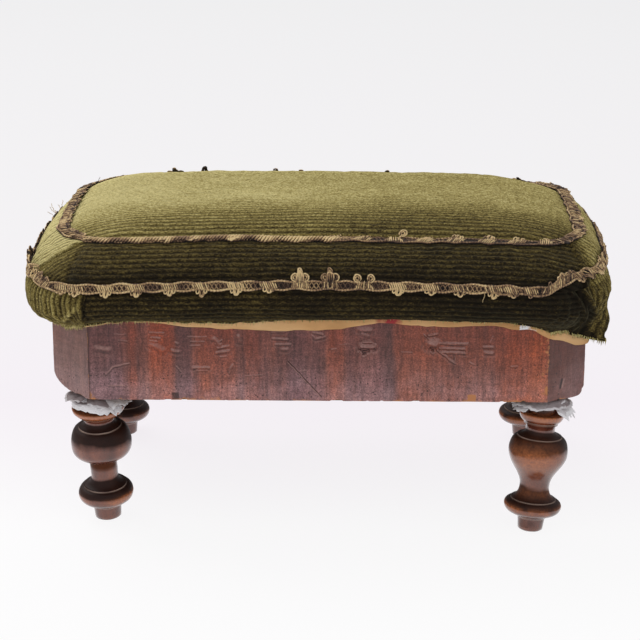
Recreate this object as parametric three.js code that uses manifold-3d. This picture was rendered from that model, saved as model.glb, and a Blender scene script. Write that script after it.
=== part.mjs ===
// Upholstered footstool: a veneered box with canted corners on four turned legs, under a stuffed
// cushion that wears one piece of ribbed velvet and two rows of gimp.
// Millimetres, +Z up, the front towards -Y, the origin on the floor under the middle of the stool.

import * as THREE from "three";
import { mergeVertices } from "three/addons/utils/BufferGeometryUtils.js";
import Module from "manifold-3d";

// Fits shared by the whole stool
const clearance = 0.3; // left between two pieces that touch
const cutOverrun = 3; // how far a cutter runs past the face that it opens

// Box: four rails and four corner blocks under a skin of veneer
const baseLength = 380;
const baseDepth = 228;
const baseCant = 28; // how far the corners are cut back along each face
const baseHeight = 62;
const veneerThickness = 1.2;
const railThickness = 20;
const blockLength = 50;
const blockDepth = 44;
const tenonLength = 10;
const tenonThickness = 8;
const tenonHeight = 34;

// Legs: a dowel stands out of the box by as much as the turning leaves of the leg's height
const legHeight = 102; // from the floor to the underside of the box
const leftLegInset = 30.7; // from the end of the box to the leg's axis
const rightLegInset = 28.7;
const faceLegInset = 22.2; // from the front or back of the box to the leg's axis
const dowelRadius = 8.6;
const dowelDepth = 26; // inside the corner block
const soleAllowance = 2.5; // wood below the sole, sawn off level with the floor
const legSides = 20;
const curveSteps = 4; // straight steps in each quarter of a moulding

// Turned members from the sole up. A member rises straight to its end radius, or in two quarter rounds by
// way of another radius, reached at a share of the rise, or in one smooth sweep. The rises are stretched
// together to fill the leg under its bare dowel.
const ballSoleRadius = 9.5;
const ballBareDowel = 16.6; // between the turning and the box
const ballMembers = {
  foot: { rise: 10.4, end: 10.2 },
  filletUnderside: { rise: 0, end: 11.6 },
  fillet: { rise: 1.4, end: 11.6 },
  disc: { rise: 12.2, by: 20, byShare: 0.58, end: 15.9 },
  grooveIn: { rise: 0.6, end: 14.8 },
  grooveOut: { rise: 0.6, end: 15.6 },
  flare: { rise: 6.4, by: 9.7, byShare: 1, end: 9.7 },
  neck: { rise: 14.2, end: 10.2 },
  ball: { rise: 25.9, by: 22, byShare: 0.58, end: 16 },
  shoulderGrooveIn: { rise: 0.6, end: 14.9 },
  shoulderGrooveOut: { rise: 0.6, end: 15.5 },
  shoulderCove: { rise: 3.4, by: 10.8, byShare: 1, end: 10.8 },
  upperNeck: { rise: 2, end: 10.8 },
  collarUnderside: { rise: 0, end: 12.8 },
  collar: { rise: 1.4, end: 13 },
  cup: { rise: 6.4, by: 17, byShare: 0.88, end: 16.5 },
};
const vaseSoleRadius = 9;
const vaseBareDowel = 18.2;
const vaseMembers = {
  foot: { rise: 10.4, end: 10 },
  filletUnderside: { rise: 0, end: 11.4 },
  fillet: { rise: 1.4, end: 11.6 },
  disc: { rise: 10.8, by: 20.7, byShare: 0.6, end: 16.7 },
  grooveIn: { rise: 0.6, end: 15.5 },
  grooveOut: { rise: 0.6, end: 16.2 },
  flare: { rise: 9.4, by: 10.6, byShare: 1, end: 10.6 },
  vase: { rise: 25.4, end: 21.3, sweep: true },
  vaseShoulder: { rise: 11, by: 21.3, byShare: 0, end: 16.5 },
  shoulderGrooveIn: { rise: 0.6, end: 15.5 },
  shoulderGrooveOut: { rise: 0.6, end: 16 },
  shoulderCove: { rise: 3.6, by: 10.5, byShare: 1, end: 10.5 },
  upperNeck: { rise: 3, end: 10.5 },
  collarUnderside: { rise: 0, end: 12.2 },
  collar: { rise: 1.3, end: 12.4 },
  cup: { rise: 5.8, by: 16, byShare: 0.88, end: 15.5 },
};

// Where each leg stands, and how far its foot has strayed from under its socket, towards +X and +Y
const ballTurning = {
  soleRadius: ballSoleRadius,
  bareDowel: ballBareDowel,
  members: Object.values(ballMembers),
};
const vaseTurning = {
  soleRadius: vaseSoleRadius,
  bareDowel: vaseBareDowel,
  members: Object.values(vaseMembers),
};
const legs = [
  { place: "front_left", side: -1, front: -1, turning: ballTurning, strayX: 4.9, strayY: 10.4 },
  { place: "front_right", side: 1, front: -1, turning: vaseTurning, strayX: -8.1, strayY: -8.5 },
  { place: "back_left", side: -1, front: 1, turning: ballTurning, strayX: 0.6, strayY: -0.6 },
  { place: "back_right", side: 1, front: 1, turning: vaseTurning, strayX: -0.6, strayY: 0.6 },
];

// Torn paper packed round each dowel: a sleeve in the socket and a ragged skirt below it
const paperThickness = 0.8;
const paperSleeveHeight = 13;
const paperSleeveEnd = 1.6; // below the box's underside, straight as far as that where the leg leans
const paperSkirtStart = 3; // below the box's underside
const paperSkirtDrop = 13;
const paperSkirtRadius = 22.5;
const paperRaggedness = 3.4; // how far the skirt's edge strays in and out, up and down
const paperTornShare = 0.6; // of the raggedness, in and out
const paperCreasedShare = 0.5; // of the raggedness, up and down
const paperNickShare = 0.7; // of a tear's depth
const paperTears = 3; // round the collar
const paperNicks = 7;
const paperCreases = 5;
const paperSkirtShares = [0.02, 0.3, 0.65, 1]; // of the drop, at each ring of the skirt
const paperSides = 18;

// Webbing, its tacks, and the hessian over them
const webbingWidth = 50;
const webbingThickness = 1.6;
const longStrapShare = 0.53; // of the way from the middle to the corner blocks, of the two long straps
const shortStrapShare = 0.69; // of the way from the middle to the corner blocks, of the outer short straps
const strapEndMargin = 5; // of wood left outside a strap's end
const strapCrossingRun = 14; // length of strap that climbs over or dips under at each side of a crossing
const tackRadius = 3;
const tackHeadHeight = 0.9;
const tackShankRadius = 0.9;
const tackLength = 10;
const tackSides = 6;
const tackSpread = 26; // between the two tacks at a strap's end
const tackEndDistance = 8; // of a tack from the strap's end
const hessianThickness = 0.8;
const hessianMargin = 6; // of wood left outside the hessian

// Cushion: the velvet's outer face, from the crown down to the hem. Each row stands beyond the box's ends
// and its front and back faces, and rises above the rails.
const crownRise = 63.5;
const velvetThickness = 1.2;
const calicoThickness = 0.8;
const upperSeam = { beyondEnds: -5.5, beyondFaces: -17.5, cornerRadius: 42, rise: 52, endDrop: 3.5 };
const lowerSeam = { beyondEnds: 18, beyondFaces: 18.5, cornerRadius: 56, rise: 28, endDrop: 4.5 };
const belly = { beyondEnds: 18.5, beyondFaces: 18.5, cornerRadius: 52, rise: 14, endDrop: 3 };
const tuck = { beyondEnds: 16, beyondFaces: 15.5, cornerRadius: 46, rise: 4, endDrop: 2 };
const underside = { beyondEnds: 10, beyondFaces: 9.5, cornerRadius: 40, rise: -0.5, endDrop: 0 };
const tuckFlatShare = 0.1; // of the way from a round corner to a straight cut
const undersideFlatShare = 0.4;
const hemBelowRailTop = 3.5; // of wood covered by the velvet
const calicoBelowHem = 4; // of calico that shows below the velvet
const hemRise = 2; // of cloth that lies flat on the wood
const hemRoll = 1; // how far the cloth stands off the wood where it leaves it
const sideDrawIn = 3; // of the long sides between their corners
const bandSwell = 2.6; // of the cloth between two seams
const bandShares = [0.3, 0.7]; // of the way from the upper seam to the lower
const footDrawIn = 0.9; // of the stuffing's foot from the cloth round it
const crownCurve = 3; // how flat the crown's middle stays: the power of the distance from it
const crownShares = [0.24, 0.47, 0.66, 0.8, 0.9, 0.97];
const innerCrownShares = [0.47, 0.8, 0.97]; // fewer rows are enough under the cover
const cornerSteps = 4;
const longSideSteps = 7;
const shortSideSteps = 4;

// A pleat of the cover that has come loose and hangs at the front right corner
const flapDrop = 17;
const flapStandOff = 16;
const flapCorner = 0; // counted from the front right
const flapMiddleShare = 0.75; // of the way round the corner
const flapWidthShare = 1; // of the corner

// Gimp: a flat braid laid along each seam
const lowerGimpWidth = 7;
const upperGimpWidth = 5.6;
const gimpThickness = 2;
const gimpStandOff = 0.6; // from the velvet

// Levels and half sizes that follow from the sizes above
const railTop = legHeight + baseHeight;
const crownHeight = railTop + crownRise; // above the floor
const carcaseInset = veneerThickness + clearance;
const carcase = cantedBox(baseLength / 2, baseDepth / 2, baseCant, carcaseInset);
const strapLevel = railTop + clearance + webbingThickness / 2;
const strapWave = (webbingThickness + clearance) / 2;
const hessianLevel = strapLevel + webbingThickness / 2 + clearance + tackHeadHeight + clearance;
const stuffingLevel = hessianLevel + hessianThickness + clearance;

const finishes = {
  pine: { color: 0x9c7a52, roughness: 0.85, metalness: 0 },
  veneer: { color: 0x7b443a, roughness: 0.5, metalness: 0 },
  leg: { color: 0x5c2a20, roughness: 0.35, metalness: 0 },
  paper: { color: 0xc9c6c0, roughness: 0.9, metalness: 0 },
  jute: { color: 0x9a7d55, roughness: 0.95, metalness: 0 },
  hessian: { color: 0xa58a60, roughness: 0.95, metalness: 0 },
  horsehair: { color: 0x4a3526, roughness: 1, metalness: 0 },
  calico: { color: 0xa57e52, roughness: 0.95, metalness: 0 },
  velvet: { color: 0x78703c, roughness: 0.95, metalness: 0 },
  gimp: { color: 0x7e6952, roughness: 0.9, metalness: 0 },
  tack: { color: 0x33302e, roughness: 0.5, metalness: 0.8 },
};

const wasm = await Module();
wasm.setup();
const stool = new THREE.Group();

function addPart(name, geometry, finish) {
  const mesh = new THREE.Mesh(geometry, new THREE.MeshStandardMaterial(finishes[finish]));
  mesh.name = name;
  stool.add(mesh);
  return mesh;
}

// Closed geometry to a solid that can be cut, and back
function toSolid(geometry) {
  const bare = geometry.clone();
  bare.deleteAttribute("normal");
  bare.deleteAttribute("uv");
  const merged = mergeVertices(bare);
  const corners = merged.index.array;
  const triangles = [];
  for (let i = 0; i < corners.length; i += 3) {
    const [a, b, c] = [corners[i], corners[i + 1], corners[i + 2]];
    if (a !== b && b !== c && c !== a) triangles.push(a, b, c);
  }
  return new wasm.Manifold(
    new wasm.Mesh({
      numProp: 3,
      vertProperties: new Float32Array(merged.attributes.position.array),
      triVerts: new Uint32Array(triangles),
    }),
  );
}

function toGeometry(solid) {
  const mesh = solid.getMesh();
  const geometry = new THREE.BufferGeometry();
  geometry.setAttribute("position", new THREE.BufferAttribute(mesh.vertProperties, 3));
  geometry.setIndex(new THREE.BufferAttribute(mesh.triVerts, 1));
  geometry.computeVertexNormals();
  return geometry;
}

function cut(geometry, cutters) {
  return toGeometry(cutters.reduce((rest, cutter) => rest.subtract(toSolid(cutter)), toSolid(geometry)));
}

function join(geometries) {
  const [first, ...others] = geometries.map(toSolid);
  return toGeometry(others.reduce((whole, other) => whole.add(other), first));
}

// Geometry from points and triangles
function surface(points, triangles) {
  const geometry = new THREE.BufferGeometry();
  const numbers = points.flatMap((point) => point.toArray());
  geometry.setAttribute("position", new THREE.Float32BufferAttribute(numbers, 3));
  geometry.setIndex(triangles);
  geometry.computeVertexNormals();
  return geometry;
}

// A block between two corners
function block(low, high) {
  const size = new THREE.Vector3().subVectors(high, low);
  const middle = new THREE.Vector3().addVectors(low, high).multiplyScalar(0.5);
  return new THREE.BoxGeometry(size.x, size.y, size.z).translate(middle.x, middle.y, middle.z);
}

// A plate with the given outline in plan, from one level up to another
function plate(outline, bottom, top) {
  const settings = { depth: top - bottom, bevelEnabled: false };
  return new THREE.ExtrudeGeometry(new THREE.Shape(outline), settings).translate(0, 0, bottom);
}

// Half sizes of a rectangle with cut corners, taken in evenly on all its faces
function cantedBox(halfLength, halfDepth, cant, inset) {
  return {
    halfLength: halfLength - inset,
    halfDepth: halfDepth - inset,
    cant: cant - inset * (2 - Math.SQRT2),
  };
}

function cantedOutline({ halfLength, halfDepth, cant }) {
  const corners = [];
  for (const [side, front] of [[1, -1], [1, 1], [-1, 1], [-1, -1]]) {
    const onLongFace = new THREE.Vector2(side * (halfLength - cant), front * halfDepth);
    const onEnd = new THREE.Vector2(side * halfLength, front * (halfDepth - cant));
    corners.push(...(side === -front ? [onLongFace, onEnd] : [onEnd, onLongFace]));
  }
  return corners;
}

// Box
function makeRail(name, halfSpan, innerFace, outerFace, alongX) {
  const middle = (innerFace + outerFace) / 2;
  const centreLevel = legHeight + baseHeight / 2;
  const [nearFace, farFace] = [Math.min(innerFace, outerFace), Math.max(innerFace, outerFace)];
  const body = block(
    new THREE.Vector3(-halfSpan, nearFace, legHeight),
    new THREE.Vector3(halfSpan, farFace, railTop),
  );
  const halfTenonSpan = halfSpan + tenonLength;
  const tenons = block(
    new THREE.Vector3(-halfTenonSpan, middle - tenonThickness / 2, centreLevel - tenonHeight / 2),
    new THREE.Vector3(halfTenonSpan, middle + tenonThickness / 2, centreLevel + tenonHeight / 2),
  );
  const rail = join([body, tenons]);
  const tackHoles = tacks.map((tack) => tackHole(tack));
  if (!alongX) rail.rotateZ(-Math.PI / 2);
  return addPart(name, cut(rail, tackHoles), "pine");
}

// The mortise in a corner block for a rail's tenon, with its mouth at the block's face
function mortise(side, front, alongX) {
  const half = { thickness: tenonThickness / 2 + clearance, height: tenonHeight / 2 + clearance };
  const depth = tenonLength + clearance;
  const centreLevel = legHeight + baseHeight / 2;
  const face = alongX ? carcase.halfLength - blockLength : carcase.halfDepth - blockDepth;
  const across = (alongX ? carcase.halfDepth : carcase.halfLength) - railThickness / 2;
  const low = new THREE.Vector2(face - cutOverrun, across - half.thickness);
  const high = new THREE.Vector2(face + depth, across + half.thickness);
  const box = alongX ? [low.x, low.y, high.x, high.y] : [low.y, low.x, high.y, high.x];
  const x = [side * box[0], side * box[2]];
  const y = [front * box[1], front * box[3]];
  return block(
    new THREE.Vector3(Math.min(...x), Math.min(...y), centreLevel - half.height),
    new THREE.Vector3(Math.max(...x), Math.max(...y), centreLevel + half.height),
  );
}

function makeCornerBlock(leg) {
  const { side, front } = leg;
  const { halfLength, halfDepth, cant } = carcase;
  const outline = [
    [halfLength - blockLength, halfDepth - blockDepth],
    [halfLength, halfDepth - blockDepth],
    [halfLength, halfDepth - cant],
    [halfLength - cant, halfDepth],
    [halfLength - blockLength, halfDepth],
  ].map(([x, y]) => new THREE.Vector2(side * x, front * y));
  if (side !== front) outline.reverse();
  const wood = plate(outline, legHeight, railTop);
  const socketRadius = dowelRadius + clearance + paperThickness + clearance;
  const socket = turn(
    [
      [0, -cutOverrun],
      [socketRadius, -cutOverrun],
      [socketRadius, dowelDepth + clearance],
      [0, dowelDepth + clearance],
    ],
    legSides,
  );
  const cutters = [stand(socket, leg), mortise(side, front, true), mortise(side, front, false)];
  return addPart(`corner_block_${leg.place}`, cut(wood, cutters), "pine");
}

function makeVeneer() {
  const names = ["cant_front_right", "right", "cant_back_right", "back", "cant_back_left", "left"];
  names.push("cant_front_left", "front");
  const outer = cantedOutline(cantedBox(baseLength / 2, baseDepth / 2, baseCant, 0));
  const inner = cantedOutline(cantedBox(baseLength / 2, baseDepth / 2, baseCant, veneerThickness));
  names.forEach((name, i) => {
    const next = (i + 1) % outer.length;
    const along = new THREE.Vector2().subVectors(outer[next], outer[i]).normalize();
    const gap = along.multiplyScalar(clearance / 2);
    const sheet = [
      outer[i].clone().add(gap),
      outer[next].clone().sub(gap),
      inner[next].clone().sub(gap),
      inner[i].clone().add(gap),
    ];
    addPart(`veneer_${name}`, plate(sheet, legHeight, railTop), "veneer");
  });
}

// Legs
function turn(profile, sides) {
  const points = profile.map(([radius, level]) => new THREE.Vector2(radius, level));
  return new THREE.LatheGeometry(points, sides).rotateX(Math.PI / 2);
}

function legLength(leg) {
  return Math.hypot(leg.strayX, leg.strayY, legHeight);
}

// Set a piece that is made round the leg's axis, with level 0 at the box's underside, in its leaning place
function stand(geometry, leg) {
  const up = new THREE.Vector3(-leg.strayX, -leg.strayY, legHeight).normalize();
  const lean = new THREE.Quaternion().setFromUnitVectors(new THREE.Vector3(0, 0, 1), up);
  const x = leg.side * (baseLength / 2 - (leg.side < 0 ? leftLegInset : rightLegInset));
  const y = leg.front * (baseDepth / 2 - faceLegInset);
  return geometry.applyQuaternion(lean).translate(x, y, legHeight);
}

function turnedProfile(turning, length) {
  const profile = [[0, -length - soleAllowance], [turning.soleRadius, -length - soleAllowance]];
  let level = -length;
  let radius = turning.soleRadius;
  profile.push([radius, level]);
  const quarter = Array.from({ length: curveSteps }, (_, i) => ((i + 1) / curveSteps) * (Math.PI / 2));
  const drawnHeight = turning.members.reduce((sum, member) => sum + member.rise, 0);
  const stretch = (length - turning.bareDowel) / drawnHeight;
  for (const { rise: drawnRise, by, byShare, end, sweep } of turning.members) {
    const rise = drawnRise * stretch;
    const top = level + rise;
    if (sweep) {
      const [from, base] = [radius, level];
      for (const angle of [...quarter, ...quarter.map((a) => a + Math.PI / 2)]) {
        const share = (1 - Math.cos(angle)) / 2;
        profile.push([from + (end - from) * share, base + (rise * angle) / Math.PI]);
      }
    } else if (by === undefined) {
      profile.push([end, top]);
    } else {
      const turnLevel = level + rise * byShare;
      if (byShare > 0) {
        for (const angle of quarter) {
          const r = radius + (by - radius) * Math.sin(angle);
          profile.push([r, level + (turnLevel - level) * (1 - Math.cos(angle))]);
        }
      }
      if (byShare < 1) {
        for (const angle of quarter) {
          const r = by + (end - by) * (1 - Math.cos(angle));
          profile.push([r, turnLevel + (top - turnLevel) * Math.sin(angle)]);
        }
      }
    }
    [radius, level] = [end, top];
  }
  profile.push([dowelRadius, level], [dowelRadius, dowelDepth], [0, dowelDepth]);
  return profile;
}

function makeLeg(leg) {
  const turned = stand(turn(turnedProfile(leg.turning, legLength(leg)), legSides), leg);
  const reach = baseLength / 2;
  const ground = block(new THREE.Vector3(-reach, -reach, -legHeight), new THREE.Vector3(reach, reach, 0));
  return addPart(`leg_${leg.place}`, cut(turned, [ground]), "leg");
}

// Torn paper: rings from the top of the sleeve down to the ragged edge, each a share of the skirt
function makePaper(leg, turnOfTear) {
  const sleeveRadius = dowelRadius + clearance + paperThickness / 2;
  const skirtRun = paperSkirtDrop - paperSkirtStart;
  const rings = [{ radius: sleeveRadius, level: paperSleeveHeight, ragged: 0 }];
  rings.push({ radius: sleeveRadius, level: -paperSleeveEnd, ragged: 0 });
  for (const share of paperSkirtShares) {
    const radius = sleeveRadius + (paperSkirtRadius - sleeveRadius) * Math.sqrt(share);
    rings.push({ radius, level: -paperSkirtStart - skirtRun * share, ragged: paperRaggedness * share });
  }
  const faces = [paperThickness / 2, -paperThickness / 2].map((offset) =>
    rings.map(({ radius, level, ragged }) =>
      Array.from({ length: paperSides }, (_, i) => {
        const angle = (i / paperSides) * 2 * Math.PI;
        const nick = paperNickShare * Math.sin(paperNicks * angle + 2 * turnOfTear);
        const tear = Math.sin(paperTears * angle + turnOfTear) + nick;
        const crease = Math.cos(paperCreases * angle + 3 * turnOfTear);
        const r = radius + offset + ragged * paperTornShare * tear;
        const z = level + ragged * paperCreasedShare * crease;
        return new THREE.Vector3(r * Math.cos(angle), r * Math.sin(angle), z);
      }),
    ),
  );
  const geometry = sleeveBetween(faces[0], faces[1]);
  return addPart(`paper_collar_${leg.place}`, stand(geometry, leg), "paper");
}

// A wall closed on itself: rings from the top down on its outer face, and as many on its inner face
function sleeveBetween(outer, inner) {
  const loop = [...outer, ...inner.slice().reverse()];
  const count = outer[0].length;
  const triangles = [];
  loop.forEach((_, i) => {
    const next = (i + 1) % loop.length;
    for (let j = 0; j < count; j++) {
      const k = (j + 1) % count;
      triangles.push(i * count + j, next * count + j, next * count + k);
      triangles.push(i * count + j, next * count + k, i * count + k);
    }
  });
  return surface(loop.flat(), triangles);
}

// Webbing and tacks
const longStrap = {
  halfSpan: carcase.halfLength - strapEndMargin,
  offsets: [-1, 1].map((side) => side * longStrapShare * (carcase.halfDepth - blockDepth)),
};
const shortStrap = {
  halfSpan: carcase.halfDepth - strapEndMargin,
  offsets: [-1, 0, 1].map((side) => side * shortStrapShare * (carcase.halfLength - blockLength)),
};
const tacks = [];
for (const [strap, alongX] of [[longStrap, true], [shortStrap, false]]) {
  for (const offset of strap.offsets) {
    for (const end of [-1, 1]) {
      for (const place of [-1, 1]) {
        const along = end * (strap.halfSpan - tackEndDistance);
        const across = offset + (place * tackSpread) / 2;
        tacks.push(alongX ? { x: along, y: across } : { x: across, y: along });
      }
    }
  }
}

function tackHole({ x, y }) {
  const radius = tackShankRadius + clearance;
  const top = strapLevel + webbingThickness / 2 + cutOverrun;
  const bottom = strapLevel + webbingThickness / 2 + clearance - tackLength - clearance;
  const hole = turn([[0, bottom], [radius, bottom], [radius, top], [0, top]], tackSides);
  return hole.translate(x, y, 0);
}

function makeTack({ x, y }, number) {
  const seat = strapLevel + webbingThickness / 2 + clearance;
  const profile = [
    [0, seat - tackLength],
    [tackShankRadius, seat - tackLength + 2 * tackShankRadius],
    [tackShankRadius, seat],
    [tackRadius, seat],
    [0, seat + tackHeadHeight],
  ];
  const name = `webbing_tack_${String(number + 1).padStart(2, "0")}`;
  addPart(name, turn(profile, tackSides).translate(x, y, 0), "tack");
}

// A strap on edge is a ribbon that rises over or dips under each strap that it crosses
function makeStrap(name, halfSpan, offset, crossings, alongX) {
  const levelAt = (s) => {
    let level = strapLevel;
    for (const crossing of crossings) {
      const beyond = Math.max(0, Math.abs(s - crossing.at) - webbingWidth / 2) / strapCrossingRun;
      level += crossing.over * strapWave * (beyond < 1 ? (1 + Math.cos(Math.PI * beyond)) / 2 : 0);
    }
    return level;
  };
  const stops = [-halfSpan, halfSpan];
  for (const { at } of crossings) {
    for (const sideOf of [-1, 1]) {
      const edge = at + (sideOf * webbingWidth) / 2;
      stops.push(edge, edge + (sideOf * strapCrossingRun) / 2, edge + sideOf * strapCrossingRun);
    }
  }
  const line = [...new Set(stops)].filter((s) => Math.abs(s) <= halfSpan).sort((a, b) => a - b);
  const top = line.map((s) => new THREE.Vector2(s, levelAt(s) + webbingThickness / 2));
  const bottom = line.map((s) => new THREE.Vector2(s, levelAt(s) - webbingThickness / 2));
  const ribbon = new THREE.ExtrudeGeometry(new THREE.Shape([...bottom, ...top.reverse()]), {
    depth: webbingWidth,
    bevelEnabled: false,
  });
  ribbon.translate(0, 0, -webbingWidth / 2).rotateX(Math.PI / 2);
  if (!alongX) ribbon.rotateZ(Math.PI / 2);
  ribbon.translate(alongX ? 0 : offset, alongX ? offset : 0, 0);
  addPart(name, cut(ribbon, tacks.map((tack) => tackHole(tack))), "jute");
}

function makeWebbing() {
  longStrap.offsets.forEach((offset, i) => {
    const crossings = shortStrap.offsets.map((at, j) => ({ at, over: (i + j) % 2 ? 1 : -1 }));
    makeStrap(`webbing_long_${i + 1}`, longStrap.halfSpan, offset, crossings, true);
  });
  shortStrap.offsets.forEach((offset, j) => {
    const crossings = longStrap.offsets.map((at, i) => ({ at, over: (i + j) % 2 ? -1 : 1 }));
    makeStrap(`webbing_short_${j + 1}`, shortStrap.halfSpan, offset, crossings, false);
  });
  tacks.forEach(makeTack);
  const sheet = cantedBox(baseLength / 2, baseDepth / 2, baseCant, carcaseInset + hessianMargin);
  const cloth = plate(cantedOutline(sheet), hessianLevel, hessianLevel + hessianThickness);
  addPart("hessian", cloth, "hessian");
}

// Cushion. A row is one line round the cushion; its plan has round corners that may be flattened towards
// the box's cants, and it drops a little towards the ends.
function between(a, b, share) {
  const row = {};
  for (const key of ["halfLength", "halfDepth", "cornerRadius", "cornerFlat", "height", "endDrop"]) {
    row[key] = (a[key] ?? 0) * (1 - share) + (b[key] ?? 0) * share;
  }
  return row;
}

function swollen(row, amount, outShare, upShare) {
  return {
    ...row,
    halfLength: row.halfLength + amount * outShare,
    halfDepth: row.halfDepth + amount * outShare,
    cornerRadius: row.cornerRadius + amount * outShare,
    height: row.height + amount * upShare,
  };
}

// A row's half sizes and level from how far it stands beyond the box
function seatedRow({ beyondEnds, beyondFaces, rise, ...rest }) {
  return {
    ...rest,
    halfLength: baseLength / 2 + beyondEnds,
    halfDepth: baseDepth / 2 + beyondFaces,
    height: railTop + rise,
  };
}

function cushionRows(crownRowShares, shownBelow = 0) {
  const [top, widest] = [seatedRow(upperSeam), seatedRow(lowerSeam)];
  const layers = 2 * clearance + calicoThickness + velvetThickness;
  const clothedBox = cantedBox(baseLength / 2, baseDepth / 2, baseCant, -layers);
  const hem = {
    halfLength: clothedBox.halfLength,
    halfDepth: clothedBox.halfDepth,
    cornerRadius: clothedBox.cant,
    cornerFlat: 1,
    height: railTop - hemBelowRailTop,
    endDrop: 0,
  };
  const hemTop = swollen({ ...hem, height: hem.height + hemRise }, hemRoll, 1, 0);
  const rows = crownRowShares.map((share) => ({
    halfLength: top.halfLength * share,
    halfDepth: top.halfDepth * share,
    cornerRadius: top.cornerRadius * share,
    height: crownHeight - (crownHeight - top.height) * share ** crownCurve,
    endDrop: top.endDrop * share ** 2,
  }));
  rows.push({ ...top, seam: "upper" });
  for (const share of bandShares) {
    const swell = bandSwell * Math.sin(Math.PI * share);
    rows.push(swollen(between(top, widest, share), swell, Math.SQRT1_2, Math.SQRT1_2));
  }
  rows.push({ ...widest, seam: "lower" }, seatedRow(belly));
  rows.push({ ...seatedRow(tuck), cornerFlat: tuckFlatShare });
  rows.push({ ...seatedRow(underside), cornerFlat: undersideFlatShare }, hemTop, hem);
  if (shownBelow > 0) rows.push({ ...hem, height: hem.height - shownBelow });
  return rows;
}

// Points and outward directions round one row, counter-clockwise from the front right corner
function rowOutline(row) {
  const { halfLength, halfDepth, cornerRadius, cornerFlat = 0, height, endDrop } = row;
  const spots = [];
  const corners = [[1, -1], [1, 1], [-1, 1], [-1, -1]];
  const arcs = corners.map(([side, front], c) => {
    const [x, y] = [side * (halfLength - cornerRadius), front * (halfDepth - cornerRadius)];
    const centre = new THREE.Vector2(x, y);
    return Array.from({ length: cornerSteps + 1 }, (_, i) => {
      const angle = (c - 1 + i / cornerSteps) * (Math.PI / 2);
      const out = new THREE.Vector2(Math.cos(angle), Math.sin(angle));
      return { at: centre.clone().addScaledVector(out, cornerRadius), out };
    });
  });
  arcs.forEach((arc, c) => {
    const [first, last] = [arc[0], arc[cornerSteps]];
    arc.forEach((spot, i) => {
      const chord = first.at.clone().lerp(last.at, i / cornerSteps);
      const at = spot.at.clone().lerp(chord, cornerFlat);
      spots.push({ at, out: spot.out, corner: c, share: i / cornerSteps });
    });
    const next = arcs[(c + 1) % arcs.length][0];
    const steps = c % 2 ? longSideSteps : shortSideSteps;
    const fullness = halfDepth / seatedRow(lowerSeam).halfDepth;
    for (let i = 1; i < steps; i++) {
      const share = i / steps;
      const inward = c % 2 ? sideDrawIn * (1 - cornerFlat) * Math.sin(Math.PI * share) * fullness : 0;
      const at = last.at.clone().lerp(next.at, share).addScaledVector(last.out, -inward);
      spots.push({ at, out: last.out });
    }
  });
  return spots.map((spot) => ({
    ...spot,
    level: height - endDrop * (spot.at.x / halfLength) ** 2,
  }));
}

// The unit direction that points out of the cushion at each row, as its parts outward and up
function rowNormals(rows) {
  return rows.map((_, i) => {
    const above = rows[Math.max(0, i - 1)];
    const below = rows[Math.min(rows.length - 1, i + 1)];
    const out = above.height - below.height;
    const up = below.halfDepth - above.halfDepth;
    const size = Math.hypot(out, up);
    return { out: out / size, up: up / size };
  });
}

function offsetPoint(spot, normal, offset) {
  const plan = spot.at.clone().addScaledVector(spot.out, normal.out * offset);
  return new THREE.Vector3(plan.x, plan.y, spot.level + normal.up * offset);
}

function layerRings(rows, offset) {
  const normals = rowNormals(rows);
  return rows.map((row, i) => rowOutline(row).map((spot) => offsetPoint(spot, normals[i], offset)));
}

// Triangles for rings under an apex, seen from outside
function domeTriangles(ringCount, count, firstRing, apex) {
  const triangles = [];
  for (let j = 0; j < count; j++) {
    const k = (j + 1) % count;
    triangles.push(apex, firstRing + j, firstRing + k);
    for (let i = 0; i < ringCount - 1; i++) {
      const [upper, lower] = [firstRing + i * count, firstRing + (i + 1) * count];
      triangles.push(upper + j, lower + j, lower + k, upper + j, lower + k, upper + k);
    }
  }
  return triangles;
}

function flipped(triangles) {
  const result = [];
  for (let i = 0; i < triangles.length; i += 3) {
    result.push(triangles[i], triangles[i + 2], triangles[i + 1]);
  }
  return result;
}

// A cap of cloth: an outer and an inner dome joined at the hem
function makeCloth(name, outer, inner, outerTop, innerTop, finish) {
  const count = outer[0].length;
  const points = [...outer.flat(), ...inner.flat(), outerTop, innerTop];
  const innerStart = outer.length * count;
  const apex = innerStart * 2;
  const triangles = domeTriangles(outer.length, count, 0, apex);
  triangles.push(...flipped(domeTriangles(inner.length, count, innerStart, apex + 1)));
  const outerHem = (outer.length - 1) * count;
  const innerHem = innerStart + outerHem;
  for (let j = 0; j < count; j++) {
    const k = (j + 1) % count;
    triangles.push(outerHem + j, innerHem + j, innerHem + k, outerHem + j, innerHem + k, outerHem + k);
  }
  addPart(name, surface(points, triangles), finish);
}

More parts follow.
